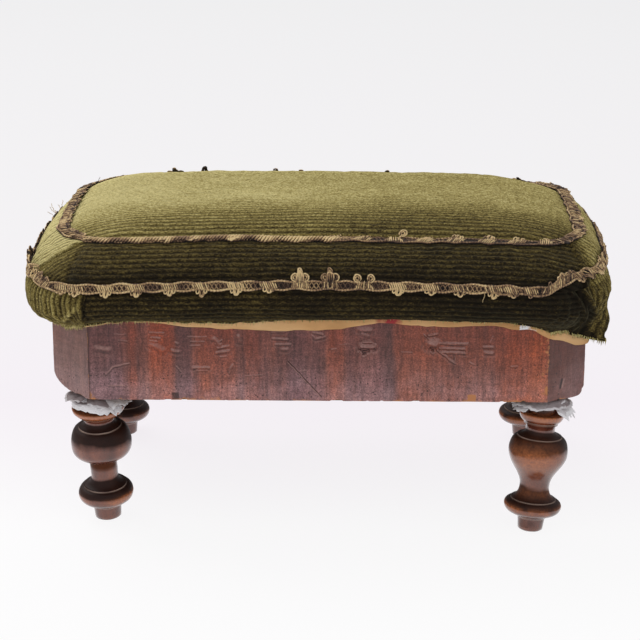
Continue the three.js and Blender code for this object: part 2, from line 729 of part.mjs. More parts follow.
function makeCushion() {
  const top = (offset) => new THREE.Vector3(0, 0, crownHeight + offset);
  const velvetRows = cushionRows(crownShares);
  const velvetOuter = layerRings(velvetRows, 0);
  const velvetInner = layerRings(velvetRows, -velvetThickness);
  hangFlap(velvetRows, [velvetOuter, velvetInner]);
  makeCloth("velvet_cover", velvetOuter, velvetInner, top(0), top(-velvetThickness), "velvet");

  const calicoOffset = -velvetThickness - clearance;
  const calicoRows = cushionRows(innerCrownShares, calicoBelowHem);
  const stuffingOffset = calicoOffset - calicoThickness - clearance;
  const calicoOuter = layerRings(calicoRows, calicoOffset);
  const calicoInner = layerRings(calicoRows, calicoOffset - calicoThickness);
  const calicoTops = [top(calicoOffset), top(calicoOffset - calicoThickness)];
  makeCloth("calico_undercover", calicoOuter, calicoInner, ...calicoTops, "calico");

  // The stuffing ends on the hessian, where the rows of the cloth go on down the wood
  const allRings = layerRings(cushionRows(innerCrownShares), stuffingOffset);
  const firstBelow = allRings.findIndex((ring) => ring[0].z < stuffingLevel);
  const rings = allRings.slice(0, firstBelow);
  const foot = rings[firstBelow - 1].map((point, j) => {
    const below = allRings[firstBelow][j];
    const share = (point.z - stuffingLevel) / (point.z - below.z);
    const inward = new THREE.Vector3(-point.x, -point.y, 0).setLength(footDrawIn);
    return point.clone().lerp(below, share).add(inward).setZ(stuffingLevel);
  });
  rings.push(foot);
  const count = foot.length;
  const points = [...rings.flat(), top(stuffingOffset), new THREE.Vector3(0, 0, stuffingLevel)];
  const apex = rings.length * count;
  const triangles = domeTriangles(rings.length, count, 0, apex);
  for (let j = 0; j < count; j++) {
    triangles.push(apex + 1, apex - count + ((j + 1) % count), apex - count + j);
  }
  addPart("stuffing", surface(points, triangles), "horsehair");

  makeGimp("upper_gimp", velvetRows, "upper", upperGimpWidth);
  makeGimp("lower_gimp", velvetRows, "lower", lowerGimpWidth);
}

// The loose pleat: the hem and the row above it swing down and out at one corner
function hangFlap(rows, layers) {
  const spots = rowOutline(rows[rows.length - 1]);
  for (const rings of layers) {
    spots.forEach((spot, j) => {
      if (spot.corner !== flapCorner) return;
      const fromMiddle = Math.abs(spot.share - flapMiddleShare) / (flapWidthShare / 2);
      if (fromMiddle >= 1) return;
      const strength = (1 + Math.cos(Math.PI * fromMiddle)) / 2;
      const outward = new THREE.Vector3(spot.out.x, spot.out.y, 0);
      rings[rings.length - 1][j].addScaledVector(outward, flapStandOff * strength).z -= flapDrop * strength;
      rings[rings.length - 2][j].addScaledVector(outward, (flapStandOff * strength) / 2);
    });
  }
}

// A braid bent over its seam: three points across its back and three across its face
function makeGimp(name, rows, seam, width) {
  const normals = rowNormals(rows);
  const at = rows.findIndex((row) => row.seam === seam);
  const outlines = [at - 1, at, at + 1].map((i) => rowOutline(rows[i]));
  const faceNormals = [at, at + 1].map((i) => rowNormals([rows[i - 1], rows[i]])[0]);
  const reach = (from, to) => {
    const run = from.at.distanceTo(to.at);
    return width / 2 / Math.hypot(run, from.level - to.level);
  };
  const edge = (from, to) => {
    const share = reach(from, to);
    return {
      at: from.at.clone().lerp(to.at, share),
      out: from.out,
      level: from.level + (to.level - from.level) * share,
    };
  };
  const sections = outlines[1].map((spot, j) => {
    const back = [edge(spot, outlines[0][j]), spot, edge(spot, outlines[2][j])];
    const directions = [faceNormals[0], normals[at], faceNormals[1]];
    const near = back.map((point, i) => offsetPoint(point, directions[i], gimpStandOff));
    const far = back.map((point, i) => offsetPoint(point, directions[i], gimpStandOff + gimpThickness));
    return [...far, ...near.reverse()];
  });
  const rings = sections[0].map((_, i) => sections.map((section) => section[i]));
  addPart(name, sleeveBetween(rings.slice(0, 3), rings.slice(3).reverse()), "gimp");
}

// The whole stool
const railSpanX = carcase.halfLength - blockLength - clearance;
const railSpanY = carcase.halfDepth - blockDepth - clearance;
makeRail("front_rail", railSpanX, -carcase.halfDepth + railThickness, -carcase.halfDepth, true);
makeRail("back_rail", railSpanX, carcase.halfDepth - railThickness, carcase.halfDepth, true);
makeRail("left_rail", railSpanY, -carcase.halfLength + railThickness, -carcase.halfLength, false);
makeRail("right_rail", railSpanY, carcase.halfLength - railThickness, carcase.halfLength, false);
legs.forEach(makeCornerBlock);
makeVeneer();
legs.forEach(makeLeg);
legs.forEach(makePaper);
makeWebbing();
makeCushion();

export default stool;
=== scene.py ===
import math

import bmesh
import bpy
import numpy as np
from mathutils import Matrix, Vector


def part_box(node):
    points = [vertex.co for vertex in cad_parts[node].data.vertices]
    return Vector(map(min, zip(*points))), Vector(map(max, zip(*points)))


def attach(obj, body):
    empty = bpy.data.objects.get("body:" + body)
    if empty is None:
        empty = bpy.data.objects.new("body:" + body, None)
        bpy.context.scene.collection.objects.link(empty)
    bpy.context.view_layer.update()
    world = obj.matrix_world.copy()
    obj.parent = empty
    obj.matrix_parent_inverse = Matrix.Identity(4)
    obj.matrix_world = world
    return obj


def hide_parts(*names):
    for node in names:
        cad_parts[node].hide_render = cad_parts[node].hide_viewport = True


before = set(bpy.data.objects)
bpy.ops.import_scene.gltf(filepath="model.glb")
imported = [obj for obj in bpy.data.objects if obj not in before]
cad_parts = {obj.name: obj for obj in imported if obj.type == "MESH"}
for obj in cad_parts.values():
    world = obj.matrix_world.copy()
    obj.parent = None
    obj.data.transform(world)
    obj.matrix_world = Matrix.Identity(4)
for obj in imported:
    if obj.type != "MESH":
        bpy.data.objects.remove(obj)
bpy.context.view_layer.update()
MM = 0.001
TAU = 2 * math.pi
IN_PLAN = np.array([1, 1, 0])

# ---------------------------------------------------------------- shared tools
TABLE = np.random.default_rng(11).random(4096) * 2 - 1


def wobble(points, size, seed=0):
    """Smooth noise from -1 to 1 at points, with lumps of about the given size in mm."""
    q = np.asarray(points, float) / np.asarray(size, float)
    low = np.floor(q).astype(np.int64)
    f = q - low
    f = f * f * (3 - 2 * f)
    total = np.zeros(q.shape[:-1])
    for corner in np.ndindex(2, 2, 2):
        share = 1.0
        for axis, step in enumerate(corner):
            share = share * (f[..., axis] if step else 1 - f[..., axis])
        x, y, z = np.moveaxis(low + corner, -1, 0)
        code = (x * 73856093) ^ (y * 19349663) ^ (z * 83492791) ^ (seed * 7368787)
        total += share * TABLE[(code ^ (code >> 13)) & 4095]
    return total


def smooth_step(x, low, high):
    t = np.clip((np.asarray(x, float) - low) / (high - low), 0, 1)
    return t * t * (3 - 2 * t)


def hill(x, width):
    """1 where x is 0, and close to 0 beyond twice the width."""
    return np.exp(-((x / width) ** 2))


def limited(x, low=0, high=1):
    return np.clip(x, low, high)


def unit(v):
    return v / np.maximum(np.linalg.norm(v, axis=-1, keepdims=True), 1e-9)


def distances(path):
    """How far along a path each of its points is."""
    return np.append(0, np.cumsum(np.linalg.norm(np.diff(path, axis=0), axis=1)))


def link(name, data):
    thing = bpy.data.objects.new(name, data)
    bpy.context.scene.collection.objects.link(thing)
    return thing


def finished(piece, replaced=()):
    """Puts a piece on the stool's only body and in place of solids."""
    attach(piece, "root")
    if replaced:
        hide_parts(*replaced)
    return piece


def add_piece(name, points, faces, material, replaced=(), marks=None):
    """A mesh piece from points in mm. marks holds one number per point under each name."""
    mesh = bpy.data.meshes.new(name)
    mesh.from_pydata((np.asarray(points) * MM).tolist(), [], faces)
    mesh.polygons.foreach_set("use_smooth", [True] * len(mesh.polygons))
    for key, values in (marks or {}).items():
        layer = mesh.attributes.new(key, "FLOAT", "POINT")
        layer.data.foreach_set("value", np.asarray(values, np.float32).ravel())
    mesh.materials.append(material)
    return finished(link(name, mesh), replaced)


def flipped(faces):
    return [tuple(reversed(face)) for face in faces]


def grid_faces(rows, columns, wrap=False, start=0):
    """Quads of a grid of points, row by row. Seen from outside, rows run down and columns to the right."""
    i, j = np.meshgrid(np.arange(rows - 1), np.arange(columns if wrap else columns - 1), indexing="ij")
    k = (j + 1) % columns
    quads = np.stack([i * columns + j, (i + 1) * columns + j, (i + 1) * columns + k, i * columns + k], -1)
    return (quads.reshape(-1, 4) + start).tolist()


def grid_rim(rows, columns):
    """The points round a grid: along the first row, down the last column, and back."""
    index = np.arange(rows * columns).reshape(rows, columns)
    return np.concatenate([index[0], index[1:, -1], index[-1, -2::-1], index[-2:0:-1, 0]]).tolist()


def sheet_faces(rows, columns):
    """Faces of a sheet: a grid of points, the same grid again behind it, and walls round the rim."""
    count, rim = rows * columns, grid_rim(rows, columns)
    faces = grid_faces(rows, columns) + flipped(grid_faces(rows, columns, start=count))
    return faces + [(a, b, count + b, count + a) for a, b in zip(rim, rim[1:] + rim[:1])]


class Heap:
    """Gathers the points, faces and marks of one piece."""

    def __init__(self):
        self.points, self.faces, self.marks, self.count = [], [], [], 0

    def add(self, points, faces, mark=0.0):
        points = np.asarray(points, float).reshape(-1, 3)
        self.points.append(points)
        self.faces.extend(tuple(k + self.count for k in face) for face in faces)
        self.marks.append(np.broadcast_to(np.asarray(mark, float).ravel(), (len(points),)))
        self.count += len(points)

    def piece(self, name, material, slot, replaced=(), key="tone"):
        marks = {key: np.concatenate(self.marks)}
        return add_piece(name, np.concatenate(self.points), self.faces, material, replaced, marks)


def tube(path, normals, radius, sides=6, closed=False, ply=0.0, turn=3.0):
    """Points and faces of a cord along a path. ply is how deep its strands show, turn their lay in mm."""
    path, normals = np.asarray(path, float), np.asarray(normals, float)
    ahead = unit(np.roll(path, -1, 0) - np.roll(path, 1, 0) if closed else np.gradient(path, axis=0))
    across = unit(np.cross(ahead, normals))
    up = np.cross(across, ahead)
    angle = np.arange(sides) / sides * TAU
    size = radius * (1 + ply * np.cos(2 * angle[None] - TAU * distances(path)[:, None] / turn))  # two strands
    if not closed:
        size[[0, -1]] *= 0.4
    x, y = size * np.cos(angle), size * np.sin(angle)
    points = path[:, None] + across[:, None] * x[..., None] + up[:, None] * y[..., None]
    count = len(path)
    quads = np.mod(grid_faces(count + closed, sides, True), count * sides)
    faces = quads[:, [0, 3, 2, 1]].tolist()
    if not closed:
        faces += [tuple(reversed(range(sides))), tuple((count - 1) * sides + j for j in range(sides))]
    return points.reshape(-1, 3), faces


# ---------------------------------------------------------------- materials
def srgb(r, g, b):
    def linear(c):
        c /= 255
        return c / 12.92 if c <= 0.04045 else ((c + 0.055) / 1.055) ** 2.4

    return (linear(r), linear(g), linear(b), 1)


class Paint:
    """Builds a procedural material node by node."""

    def __init__(self, name, **settings):
        self.material = bpy.data.materials.new(name)
        self.material.use_nodes = True
        self.nodes, self.links = self.material.node_tree.nodes, self.material.node_tree.links
        self.shader = self.nodes["Principled BSDF"]
        for key, value in settings.items():
            self.shader.inputs[key.replace("_", " ")].default_value = value
        self.place = self.nodes.new("ShaderNodeTexCoord").outputs["Object"]

    def put(self, socket, value):
        if isinstance(value, bpy.types.NodeSocket):
            self.links.new(value, socket)
        else:
            socket.default_value = value

    def node(self, kind, **inputs):
        node = self.nodes.new("ShaderNode" + kind)
        for key, value in inputs.items():
            self.put(node.inputs[key.replace("_", " ")], value)
        return node

    def math(self, operation, a, b):
        node = self.node("Math")
        node.operation = operation
        self.put(node.inputs[0], a)
        self.put(node.inputs[1], b)
        return node.outputs[0]

    def add(self, a, b):
        return self.math("ADD", a, b)

    def times(self, a, b):
        return self.math("MULTIPLY", a, b)

    def scaled(self, scale):
        return self.node("Mapping", Scale=scale, Vector=self.place).outputs[0]

    def noise(self, scale, detail=3.0, stretch=(1, 1, 1), rough=0.55, warp=0.0):
        return self.node(
            "TexNoise", Scale=scale, Detail=detail, Roughness=rough, Distortion=warp, Vector=self.scaled(stretch)
        ).outputs["Fac"]

    def jitter(self, value, share, *noise, **more):
        """The value with noise added, up to share either way."""
        return self.add(value, self.span(self.noise(*noise, **more), 0.3, 0.7, -share, share))

    def cells(self, scale):
        return self.node("TexVoronoi", Scale=scale, Vector=self.place).outputs["Distance"]

    def wave(self, scale, direction="X", stretch=(1, 1, 1), warp=0.0):
        node = self.node("TexWave", Scale=scale, Distortion=warp, Detail_Scale=2, Vector=self.scaled(stretch))
        node.bands_direction = direction
        return node.outputs["Fac"]

    def mark(self, name):
        node = self.node("Attribute")
        node.attribute_name = name
        return node.outputs["Fac"]

    def axis(self, which, vector=None):
        return self.node("SeparateXYZ", Vector=vector or self.place).outputs[which]

    def span(self, value, low, high, to_low=0.0, to_high=1.0):
        return self.node(
            "MapRange", From_Min=low, From_Max=high, To_Min=to_low, To_Max=to_high, Value=value
        ).outputs["Result"]

    def within(self, value, low, high, soft):
        """1 between low and high, with soft edges."""
        return self.times(self.span(value, low - soft, low + soft), self.span(value, high + soft, high - soft))

    def ramp(self, value, *stops):
        """A colour ramp with linear colours."""
        node = self.node("ValToRGB", Fac=value)
        elements = node.color_ramp.elements
        while len(elements) < len(stops):
            elements.new(0.5)
        for element, (at, colour) in zip(elements, stops):
            element.position, element.color = at, colour
        return node.outputs["Color"]

    def tints(self, value, *stops):
        """A colour ramp whose stops are a place and three numbers from 0 to 255."""
        return self.ramp(value, *((at, srgb(*colour)) for at, *colour in stops))

    def shades(self, value, *stops):
        """A ramp of factors to multiply a colour by: one factor each, or one for red, green and blue."""
        return self.ramp(value, *((at, (*factors, *factors, *factors)[:3] + (1,)) for at, *factors in stops))

    def mix(self, share, a, b, blend="MIX"):
        node = self.node("Mix")
        node.data_type, node.blend_type = "RGBA", blend
        for key, value in (("Factor", share), ("A", a), ("B", b)):
            self.put(node.inputs[key], value)
        return node.outputs["Result"]

    def colour(self, value):
        self.put(self.shader.inputs["Base Color"], value)

    def rough(self, value):
        self.put(self.shader.inputs["Roughness"], value)

    def bump(self, height, distance, strength=1.0):
        """Adds a bump of the given depth in metres under those added before."""
        node = self.node("Bump", Strength=strength, Distance=distance, Height=height)
        before = self.shader.inputs["Normal"]
        if before.is_linked:
            self.put(node.inputs["Normal"], before.links[0].from_socket)
        self.links.new(node.outputs["Normal"], before)


def velvet_material():
    p = Paint(
        "velvet", Roughness=0.9, Sheen_Weight=0.16, Sheen_Roughness=0.5, Sheen_Tint=srgb(206, 200, 150),
        Specular_IOR_Level=0.12,
    )
    # The mark below holds both how faded the velvet is and the shade painted into it
    fade_and_shade = p.jitter(p.mark("fade_and_shade"), 0.06, 9, 4, (0.5, 1, 1))
    fade_and_shade = p.jitter(p.jitter(fade_and_shade, 0.05, 60, 3, (0.5, 1, 1)), 0.08, 420, 2, (0.6, 1, 1))
    # The pile breaks the colour up, more where it is faded
    pile = p.span(p.noise(1100, 4, (0.6, 1, 1), 0.75), 0.3, 0.7, -1, 1)
    fade_and_shade = p.add(fade_and_shade, p.times(pile, p.span(p.mark("fade_and_shade"), 0.04, 0.42, 0.17, 0.38)))
    base = p.tints(
        fade_and_shade, (0.0, 25, 19, 12), (0.12, 47, 38, 20), (0.3, 90, 77, 40), (0.5, 130, 116, 64), (0.7, 167, 153, 94),
        (1.0, 208, 196, 138),
    )
    rib = p.jitter(p.mark("rib"), 0.14, 800, 2, (0.4, 1, 1))
    # Painted shade in the valleys between the ribs, and the worn crests lighter
    rib_shade_and_wear = p.shades(rib, (0.0, 0.26, 0.24, 0.21), (0.5, 0.85, 0.84, 0.82), (1.0, 1.26, 1.26, 1.24))
    p.colour(p.mix(1.0, base, rib_shade_and_wear, "MULTIPLY"))
    p.bump(p.noise(1500, 3), 0.0004, 0.8)
    p.bump(p.noise(420, 3, (0.5, 1, 1)), 0.0004, 0.5)
    return p.material


def gimp_material():
    p = Paint("gimp", Roughness=0.75, Sheen_Weight=0.1, Specular_IOR_Level=0.3)
    tone = p.jitter(p.jitter(p.mark("tone"), 0.2, 40, 3), 0.16, 900, 2)
    p.colour(p.tints(
        tone, (0.0, 24, 16, 12), (0.25, 72, 50, 38), (0.5, 134, 103, 78), (0.75, 192, 156, 110), (1.0, 246, 216, 158)
    ))
    p.bump(p.wave(1400, "DIAGONAL", warp=2), 0.00025, 0.7)
    return p.material


def calico_material():
    p = Paint("calico", Roughness=0.95, Specular_IOR_Level=0.1)
    base = p.tints(p.noise(30, 4, (0.5, 1, 1)), (0.25, 180, 128, 78), (0.5, 226, 176, 120), (0.75, 244, 206, 152))
    front = p.span(p.axis("Y"), -0.1, -0.11)
    # A red stain and a white bit at the front
    for low, high, soft, colour in ((0.043, 0.056, 0.004, (176, 70, 72)), (0.1415, 0.1495, 0.0015, (250, 248, 246))):
        here = p.within(p.jitter(p.axis("X"), 0.004, 160, 3), low, high, soft)
        base = p.mix(p.times(here, front), base, srgb(*colour))
    p.colour(base)
    for direction in "XZ":
        p.bump(p.wave(900, direction), 0.0001, 0.5)
    return p.material


def veneer_material(name, along, bands, contrast=1.0):
    """Crossbanded veneer: upright figure that changes along one axis, in places named by bands.

    A band is its two ends and the softness of its edges in mm, its colour and its strength."""
    p = Paint(name, Roughness=0.42, Specular_IOR_Level=0.36, Coat_Weight=0.06, Coat_Roughness=0.3)
    stretch = (1, 0.6, 0.09) if along == "X" else (0.6, 1, 0.09)
    fine = p.noise(190, 5, stretch, 0.7, warp=0.3)
    figure = p.add(p.span(p.noise(34, 4, stretch, warp=0.4), 0.25, 0.75, 0, 0.6), p.span(fine, 0.3, 0.7, 0, 0.4))
    base = p.tints(figure, (0.15, 92, 60, 58), (0.4, 111, 71, 65), (0.58, 129, 80, 69), (0.8, 148, 92, 76))
    for low, high, soft, colour, share in bands:
        inside = p.within(p.jitter(p.axis(along), 0.0018, 60, 3, (1, 1, 0.4)), low * MM, high * MM, soft * MM)
        base = p.mix(p.times(inside, p.span(fine, 0.25, 0.6, 0.35 * share, share)), base, srgb(*colour))
    level = p.axis("Z")
    # Pale bloom and wormy specks towards the bottom
    bloom = p.times(p.span(level, 0.138, 0.11), p.span(p.noise(40, 4), 0.35, 0.6))
    base = p.mix(p.times(bloom, 0.4), base, srgb(142, 108, 104))
    specks = p.times(p.span(p.cells(300), 0.2, 0.13), p.span(p.noise(45, 2), 0.42, 0.52))
    specks = p.times(specks, p.span(level, 0.15, 0.12, 0.1, 0.85))
    base = p.mix(specks, base, srgb(45, 28, 27))
    # Fine hatching: upright pores, level scratches and a grainy bloom
    for dark, light, *noise in (
        (0.68, 1.28, 520, 3, (1, 1, 0.13)), (0.84, 1.14, 420, 3, (0.12, 0.12, 1)), (0.5, 1.6, 980, 3, (1, 1, 1), 0.7),
    ):
        base = p.mix(contrast, base, p.shades(p.noise(*noise), (0.3, dark), (0.5, 1.0), (0.68, light)), "MULTIPLY")
    # Painted shade: darker and redder under the cushion's overhang; paler and bluer towards the bottom
    cushion_shade_ramp = p.shades(
        p.span(p.jitter(level, 0.004, 25, 3), 0.102, 0.164), (0.09, 1.46, 1.62, 1.74), (0.2, 1.3, 1.44, 1.54),
        (0.38, 1), (0.57, 0.93, 0.82, 0.75), (0.76, 0.9, 0.75, 0.68),
    )
    base = p.mix(contrast, base, cushion_shade_ramp, "MULTIPLY")
    base = p.mix(p.span(p.jitter(p.mark("worn"), 0.3, 400, 3), 0.35, 0.8), base, srgb(190, 126, 78))
    # The mark below holds real dirt and painted shadows under the bruises, darkening the wood; below 0 it paints
    # highlights on them
    dirt_and_shade = p.mark("dirt_and_shade")
    base = p.mix(p.span(dirt_and_shade, 0, 1, 0, 0.9), base, srgb(38, 22, 20))
    lit = p.times(p.span(dirt_and_shade, 0, -0.6, 0, 0.75), p.span(p.noise(800, 3), 0.3, 0.6, 0.45, 1))
    p.colour(p.mix(lit, base, srgb(176, 136, 126)))
    p.rough(p.span(p.noise(70, 4), 0.3, 0.7, 0.33, 0.58))
    p.bump(p.noise(130, 4, (0.35, 0.35, 2.2)), 0.0005, 0.55)
    p.bump(fine, 0.0002, 0.4)
    p.bump(specks, 0.0004, -0.6)
    return p.material


def leg_material():
    p = Paint("leg", Coat_Roughness=0.1)
    grain = p.noise(60, 5, (1, 1, 0.16), 0.65, warp=0.6)
    base = p.tints(grain, (0.3, 80, 38, 26), (0.5, 116, 61, 44), (0.7, 150, 86, 60))
    base = p.mix(p.span(p.noise(900, 3), 0.55, 0.7, 0, 0.5), base, srgb(58, 32, 24))
    # Grime and painted shade lie on the faces that look up
    up = p.axis("Z", p.node("NewGeometry").outputs["Normal"])
    grime_and_top_shade = p.span(p.jitter(p.span(up, -0.1, 0.22), 0.16, 70, 3), 0.2, 0.8)
    base = p.mix(p.times(grime_and_top_shade, 0.94), base, srgb(33, 20, 16))
    worn = p.times(p.mark("worn"), p.span(p.noise(620, 4), 0.3, 0.62, 0.45, 1))
    base = p.mix(worn, base, srgb(186, 110, 64))
    # Below 0 the mark tells of dull varnish
    base = p.mix(p.span(p.mark("worn"), 0, -1, 0, 0.85), base, srgb(84, 44, 20))
    # The rim mark paints highlights on the small steps of the turning
    p.colour(p.mix(p.mark("rim"), base, srgb(206, 178, 160)))
    p.rough(p.span(grime_and_top_shade, 0, 1, 0.2, 0.55))
    clear = p.span(p.mark("worn"), 0, -1, 1, 0.1)
    for socket, clean, grimy in (("Specular IOR Level", 0.6, 0.18), ("Coat Weight", 0.65, 0.0)):
        p.put(p.shader.inputs[socket], p.times(clear, p.span(grime_and_top_shade, 0, 1, clean, grimy)))
    p.bump(p.noise(380, 4), 0.00012, 0.5)
    return p.material


def paper_material():
    p = Paint("paper", Roughness=0.6, Specular_IOR_Level=0.3)
    tone = p.jitter(p.mark("tone"), 0.18, 90, 4, warp=0.6)
    p.colour(p.tints(tone, (0.0, 108, 88, 88), (0.5, 176, 166, 166), (1.0, 246, 244, 244)))
    p.bump(p.noise(220, 4, warp=0.8), 0.0005, 0.5)
    return p.material


def pine_material():
    p = Paint("pine", Roughness=0.8, Specular_IOR_Level=0.25)
    fine = p.noise(260, 4, (0.15, 0.15, 1))
    grain = p.wave(26, "Z", (0.25, 0.25, 1), warp=5)
    base = p.tints(grain, (0.2, 168, 130, 84), (0.6, 146, 106, 64), (0.85, 112, 76, 44))
    base = p.mix(p.span(fine, 0.35, 0.7, 0, 0.5), base, srgb(96, 66, 42))
    p.colour(p.mix(p.span(p.noise(22, 4), 0.42, 0.68, 0, 0.6), base, srgb(74, 54, 40)))
    p.bump(fine, 0.0003, 0.6)
    return p.material


def weave_material(name, warm, dark, pitch, stripe=None):
    """A plain weave whose threads are pitch metres apart."""
    p = Paint(name, Roughness=0.92, Specular_IOR_Level=0.15)
    scale = 1 / pitch / 3.2
    check = p.times(p.wave(scale, "X", warp=0.3), p.wave(scale, "Y", warp=0.3))
    base = p.ramp(check, (0.0, dark), (0.5, warm), (1.0, warm))
    base = p.mix(p.span(p.noise(90, 4), 0.35, 0.7, 0, 0.5), base, dark)
    if stripe:
        base = p.mix(p.span(p.mark("stripe"), 0.3, 0.7, 0, 0.8), base, stripe)
    p.colour(base)
    p.bump(check, pitch * 0.35, 0.8)
    return p.material


def tack_material():
    p = Paint("tack", Metallic=0.8)
    p.colour(p.tints(p.noise(600, 3), (0.35, 44, 40, 38), (0.7, 96, 66, 46)))
    p.rough(p.span(p.noise(400, 3), 0.3, 0.7, 0.4, 0.75))
    return p.material


velvet, gimp, calico = velvet_material(), gimp_material(), calico_material()
leg_finish, paper, pine, tack = leg_material(), paper_material(), pine_material(), tack_material()
jute = weave_material("jute", srgb(176, 146, 102), srgb(98, 74, 46), 0.0016, srgb(120, 52, 40))
hessian = weave_material("hessian", srgb(168, 140, 98), srgb(84, 62, 38), 0.0011)

# ---------------------------------------------------------------- cushion
# Rows of the cover from the upper seam down: half length, half depth, corner radius, how flat the corners
# are, level, and how far the ends drop, in mm
UPPER_SEAM = (184.5, 96.5, 42.0, 0.0, 216.0, 3.5)
LOWER_SEAM = (208.0, 132.5, 56.0, 0.0, 192.0, 4.5)
BELLY = (208.5, 132.5, 52.0, 0.0, 178.0, 3.0)
TUCK = (206.0, 129.5, 46.0, 0.1, 168.0, 2.0)
UNDERSIDE = (200.0, 123.5, 40.0, 0.4, 163.5, 0.0)
HEM_TOP = (193.6, 117.6, 30.5, 1.0, 162.5, 0.0)
HEM = (192.6, 116.6, 29.5, 1.0, 160.5, 0.0)
CROWN_LEVEL = 227.5
FLOOR_OF_CUSHION = 168.9
BAND_SWELL = 2.6
SIDE_DRAW_IN = 3.0
RIB_PITCH, RIB_HEIGHT = 4.3, 0.42
ROW_STEP, COLUMN_STEP = RIB_PITCH / 4, 0.8
CORNER_RUN, END_RUN, SIDE_COLUMNS = 88, 153, 60


def swollen_row(share):
    row = np.array(UPPER_SEAM) * (1 - share) + np.array(LOWER_SEAM) * share
    swell = BAND_SWELL * math.sin(math.pi * share) * math.sqrt(0.5)
    return row + swell * np.array([1, 1, 1, 0, 1, 0])


def resampled(rows, step):
    """Rows on a smooth curve through the given ones, about a step apart, and their distance from the first."""
    rows = np.array(rows, float)
    chord = distances(rows[:, [1, 4]])
    slope = np.gradient(rows, chord, axis=0)
    t = np.linspace(0, 1, 24, endpoint=False)[:, None]
    dense = []
    for i, run in enumerate(np.diff(chord)):
        dense.append(
            (2 * t**3 - 3 * t**2 + 1) * rows[i] + (t**3 - 2 * t**2 + t) * run * slope[i]
            + (3 * t**2 - 2 * t**3) * rows[i + 1] + (t**3 - t**2) * run * slope[i + 1]
        )
    dense = np.concatenate([*dense, rows[-1:]])
    arc = distances(dense[:, [1, 4]])
    spots = np.linspace(0, arc[-1], max(2, round(arc[-1] / step)) + 1)
    return np.stack([np.interp(spots, arc, values) for values in dense.T], 1), spots


upper_rows, upper_depth = resampled([UPPER_SEAM, swollen_row(0.3), swollen_row(0.7), LOWER_SEAM], ROW_STEP)
lower_rows, lower_depth = resampled([LOWER_SEAM, BELLY, TUCK, UNDERSIDE, HEM_TOP, HEM], ROW_STEP)
band_rows = np.concatenate([upper_rows, lower_rows[1:]])
depth = np.concatenate([upper_depth, upper_depth[-1] + lower_depth[1:]])
SEAM_ROW = len(upper_rows) - 1
SEAM_DEPTH, HEM_DEPTH = depth[SEAM_ROW], depth[-1]

# Columns round the cover, counter-clockwise from the front right corner: each corner, then the straight side
# after it (0 right end, 1 back, 2 left end, 3 front), and how far along that each column is
is_corner, column_side, column_share = [], [], []
for c in range(4):
    side_count = SIDE_COLUMNS if c % 2 else round(END_RUN / COLUMN_STEP)
    for corner, count in ((True, round(CORNER_RUN / COLUMN_STEP)), (False, side_count)):
        is_corner += [corner] * count
        column_side += [c] * count
        column_share += [i / count for i in range(count)]
is_corner, column_side, column_share = map(np.array, (is_corner, column_side, column_share))
columns = len(is_corner)
on_long = column_side % 2 == 1
SIGNS = np.array([(1, -1), (1, 1), (-1, 1), (-1, -1)])


def ring_points(rows):
    """Points of the given rows at every column, with the lengths of each row's corner arcs and sides."""
    hl, hd, r, flat, level, drop = (rows[:, k : k + 1] for k in range(6))
    share = column_share[None]

    def on_arc(c, f):
        first, angle, last = ((c - 1 + at) * math.pi / 2 for at in (0, f, 1))
        return [
            SIGNS[c % 4, axis] * (half - r)
            + r * ((1 - flat) * turn(angle) + flat * (turn(first) * (1 - f) + turn(last) * f))
            for axis, half, turn in ((0, hl, np.cos), (1, hd, np.sin))
        ]

    corner = column_side[None]
    ax, ay = on_arc(corner, share)
    fx, fy = on_arc(corner, np.ones_like(share))
    nx, ny = on_arc(corner + 1, np.zeros_like(share))
    inward = SIDE_DRAW_IN * (1 - flat) * np.sin(math.pi * share) * hd / LOWER_SEAM[1]
    x = np.where(is_corner, ax, fx + (nx - fx) * share)
    y = np.where(is_corner, ay, fy + (ny - fy) * share - np.where(on_long, np.sign(fy) * inward, 0))
    z = level - drop * (x / hl) ** 2
    arc_length = r * (math.pi / 2 * (1 - flat) + math.sqrt(2) * flat)
    return np.stack([x, y, z], -1), arc_length, 2 * (hl - r), 2 * (hd - r)


def grid_normals(grid, wrap):
    right = np.roll(grid, -1, 1) - np.roll(grid, 1, 1) if wrap else np.gradient(grid, axis=1)
    return unit(np.cross(np.gradient(grid, axis=0), right))


band, arc_length, long_length, short_length = ring_points(band_rows)
D = np.broadcast_to(depth[:, None], band.shape[:2])

# Signed distance from the middle of the nearest corner: positive towards the front or back, negative
# towards the end
corner_share = np.where(on_long, column_share, 1 - column_share)
beyond = np.minimum(column_share, 1 - column_share)
U = np.where(
    is_corner, (corner_share - 0.5) * arc_length,
    np.where(on_long, 0.5 * arc_length + beyond * long_length, -(0.5 * arc_length + beyond * short_length)),
)
nearest = np.where(is_corner | (column_share < 0.5), column_side, (column_side + 1) % 4)
at_front_right, _, _, at_front_left = (np.broadcast_to(nearest == c, U.shape) for c in range(4))
above = D < SEAM_DEPTH
below = ~above
down_share = np.where(above, D / SEAM_DEPTH, (D - SEAM_DEPTH) / (HEM_DEPTH - SEAM_DEPTH))

# Where the ribs of the front or back meet those of the end, as a share of the corner from the end, and
# M, the signed distance from there
meet = np.full(U.shape, 0.5)
for where, start, change in (
    (at_front_left & above, 0.62, -0.34), (at_front_left & below, 0.92, 0.05),
    (at_front_right & above, 0.45, 0.1), (at_front_right & below, 0.72, -0.25),
):
    meet = np.where(where, start + change * down_share, meet)
M = U - (meet - 0.5) * arc_length
end_distance = 0.5 * short_length + 0.5 * arc_length + U
fold = np.where(at_front_left, (0.64 + 0.1 * down_share - 0.5) * arc_length, 0.35 * arc_length)
lean = np.where(at_front_left, 1.0, np.where(at_front_right, 0.4, 0.15)) * above
turned_down = lean * np.maximum(0, fold - U)
stray = wobble(band, 45, 3) * 0.35
phase = np.where(M > 0, D - turned_down, end_distance) / RIB_PITCH + np.where(np.abs(M) < 60, stray, 0) * (M < 40)
rib = 0.5 + 0.5 * np.cos(TAU * phase)

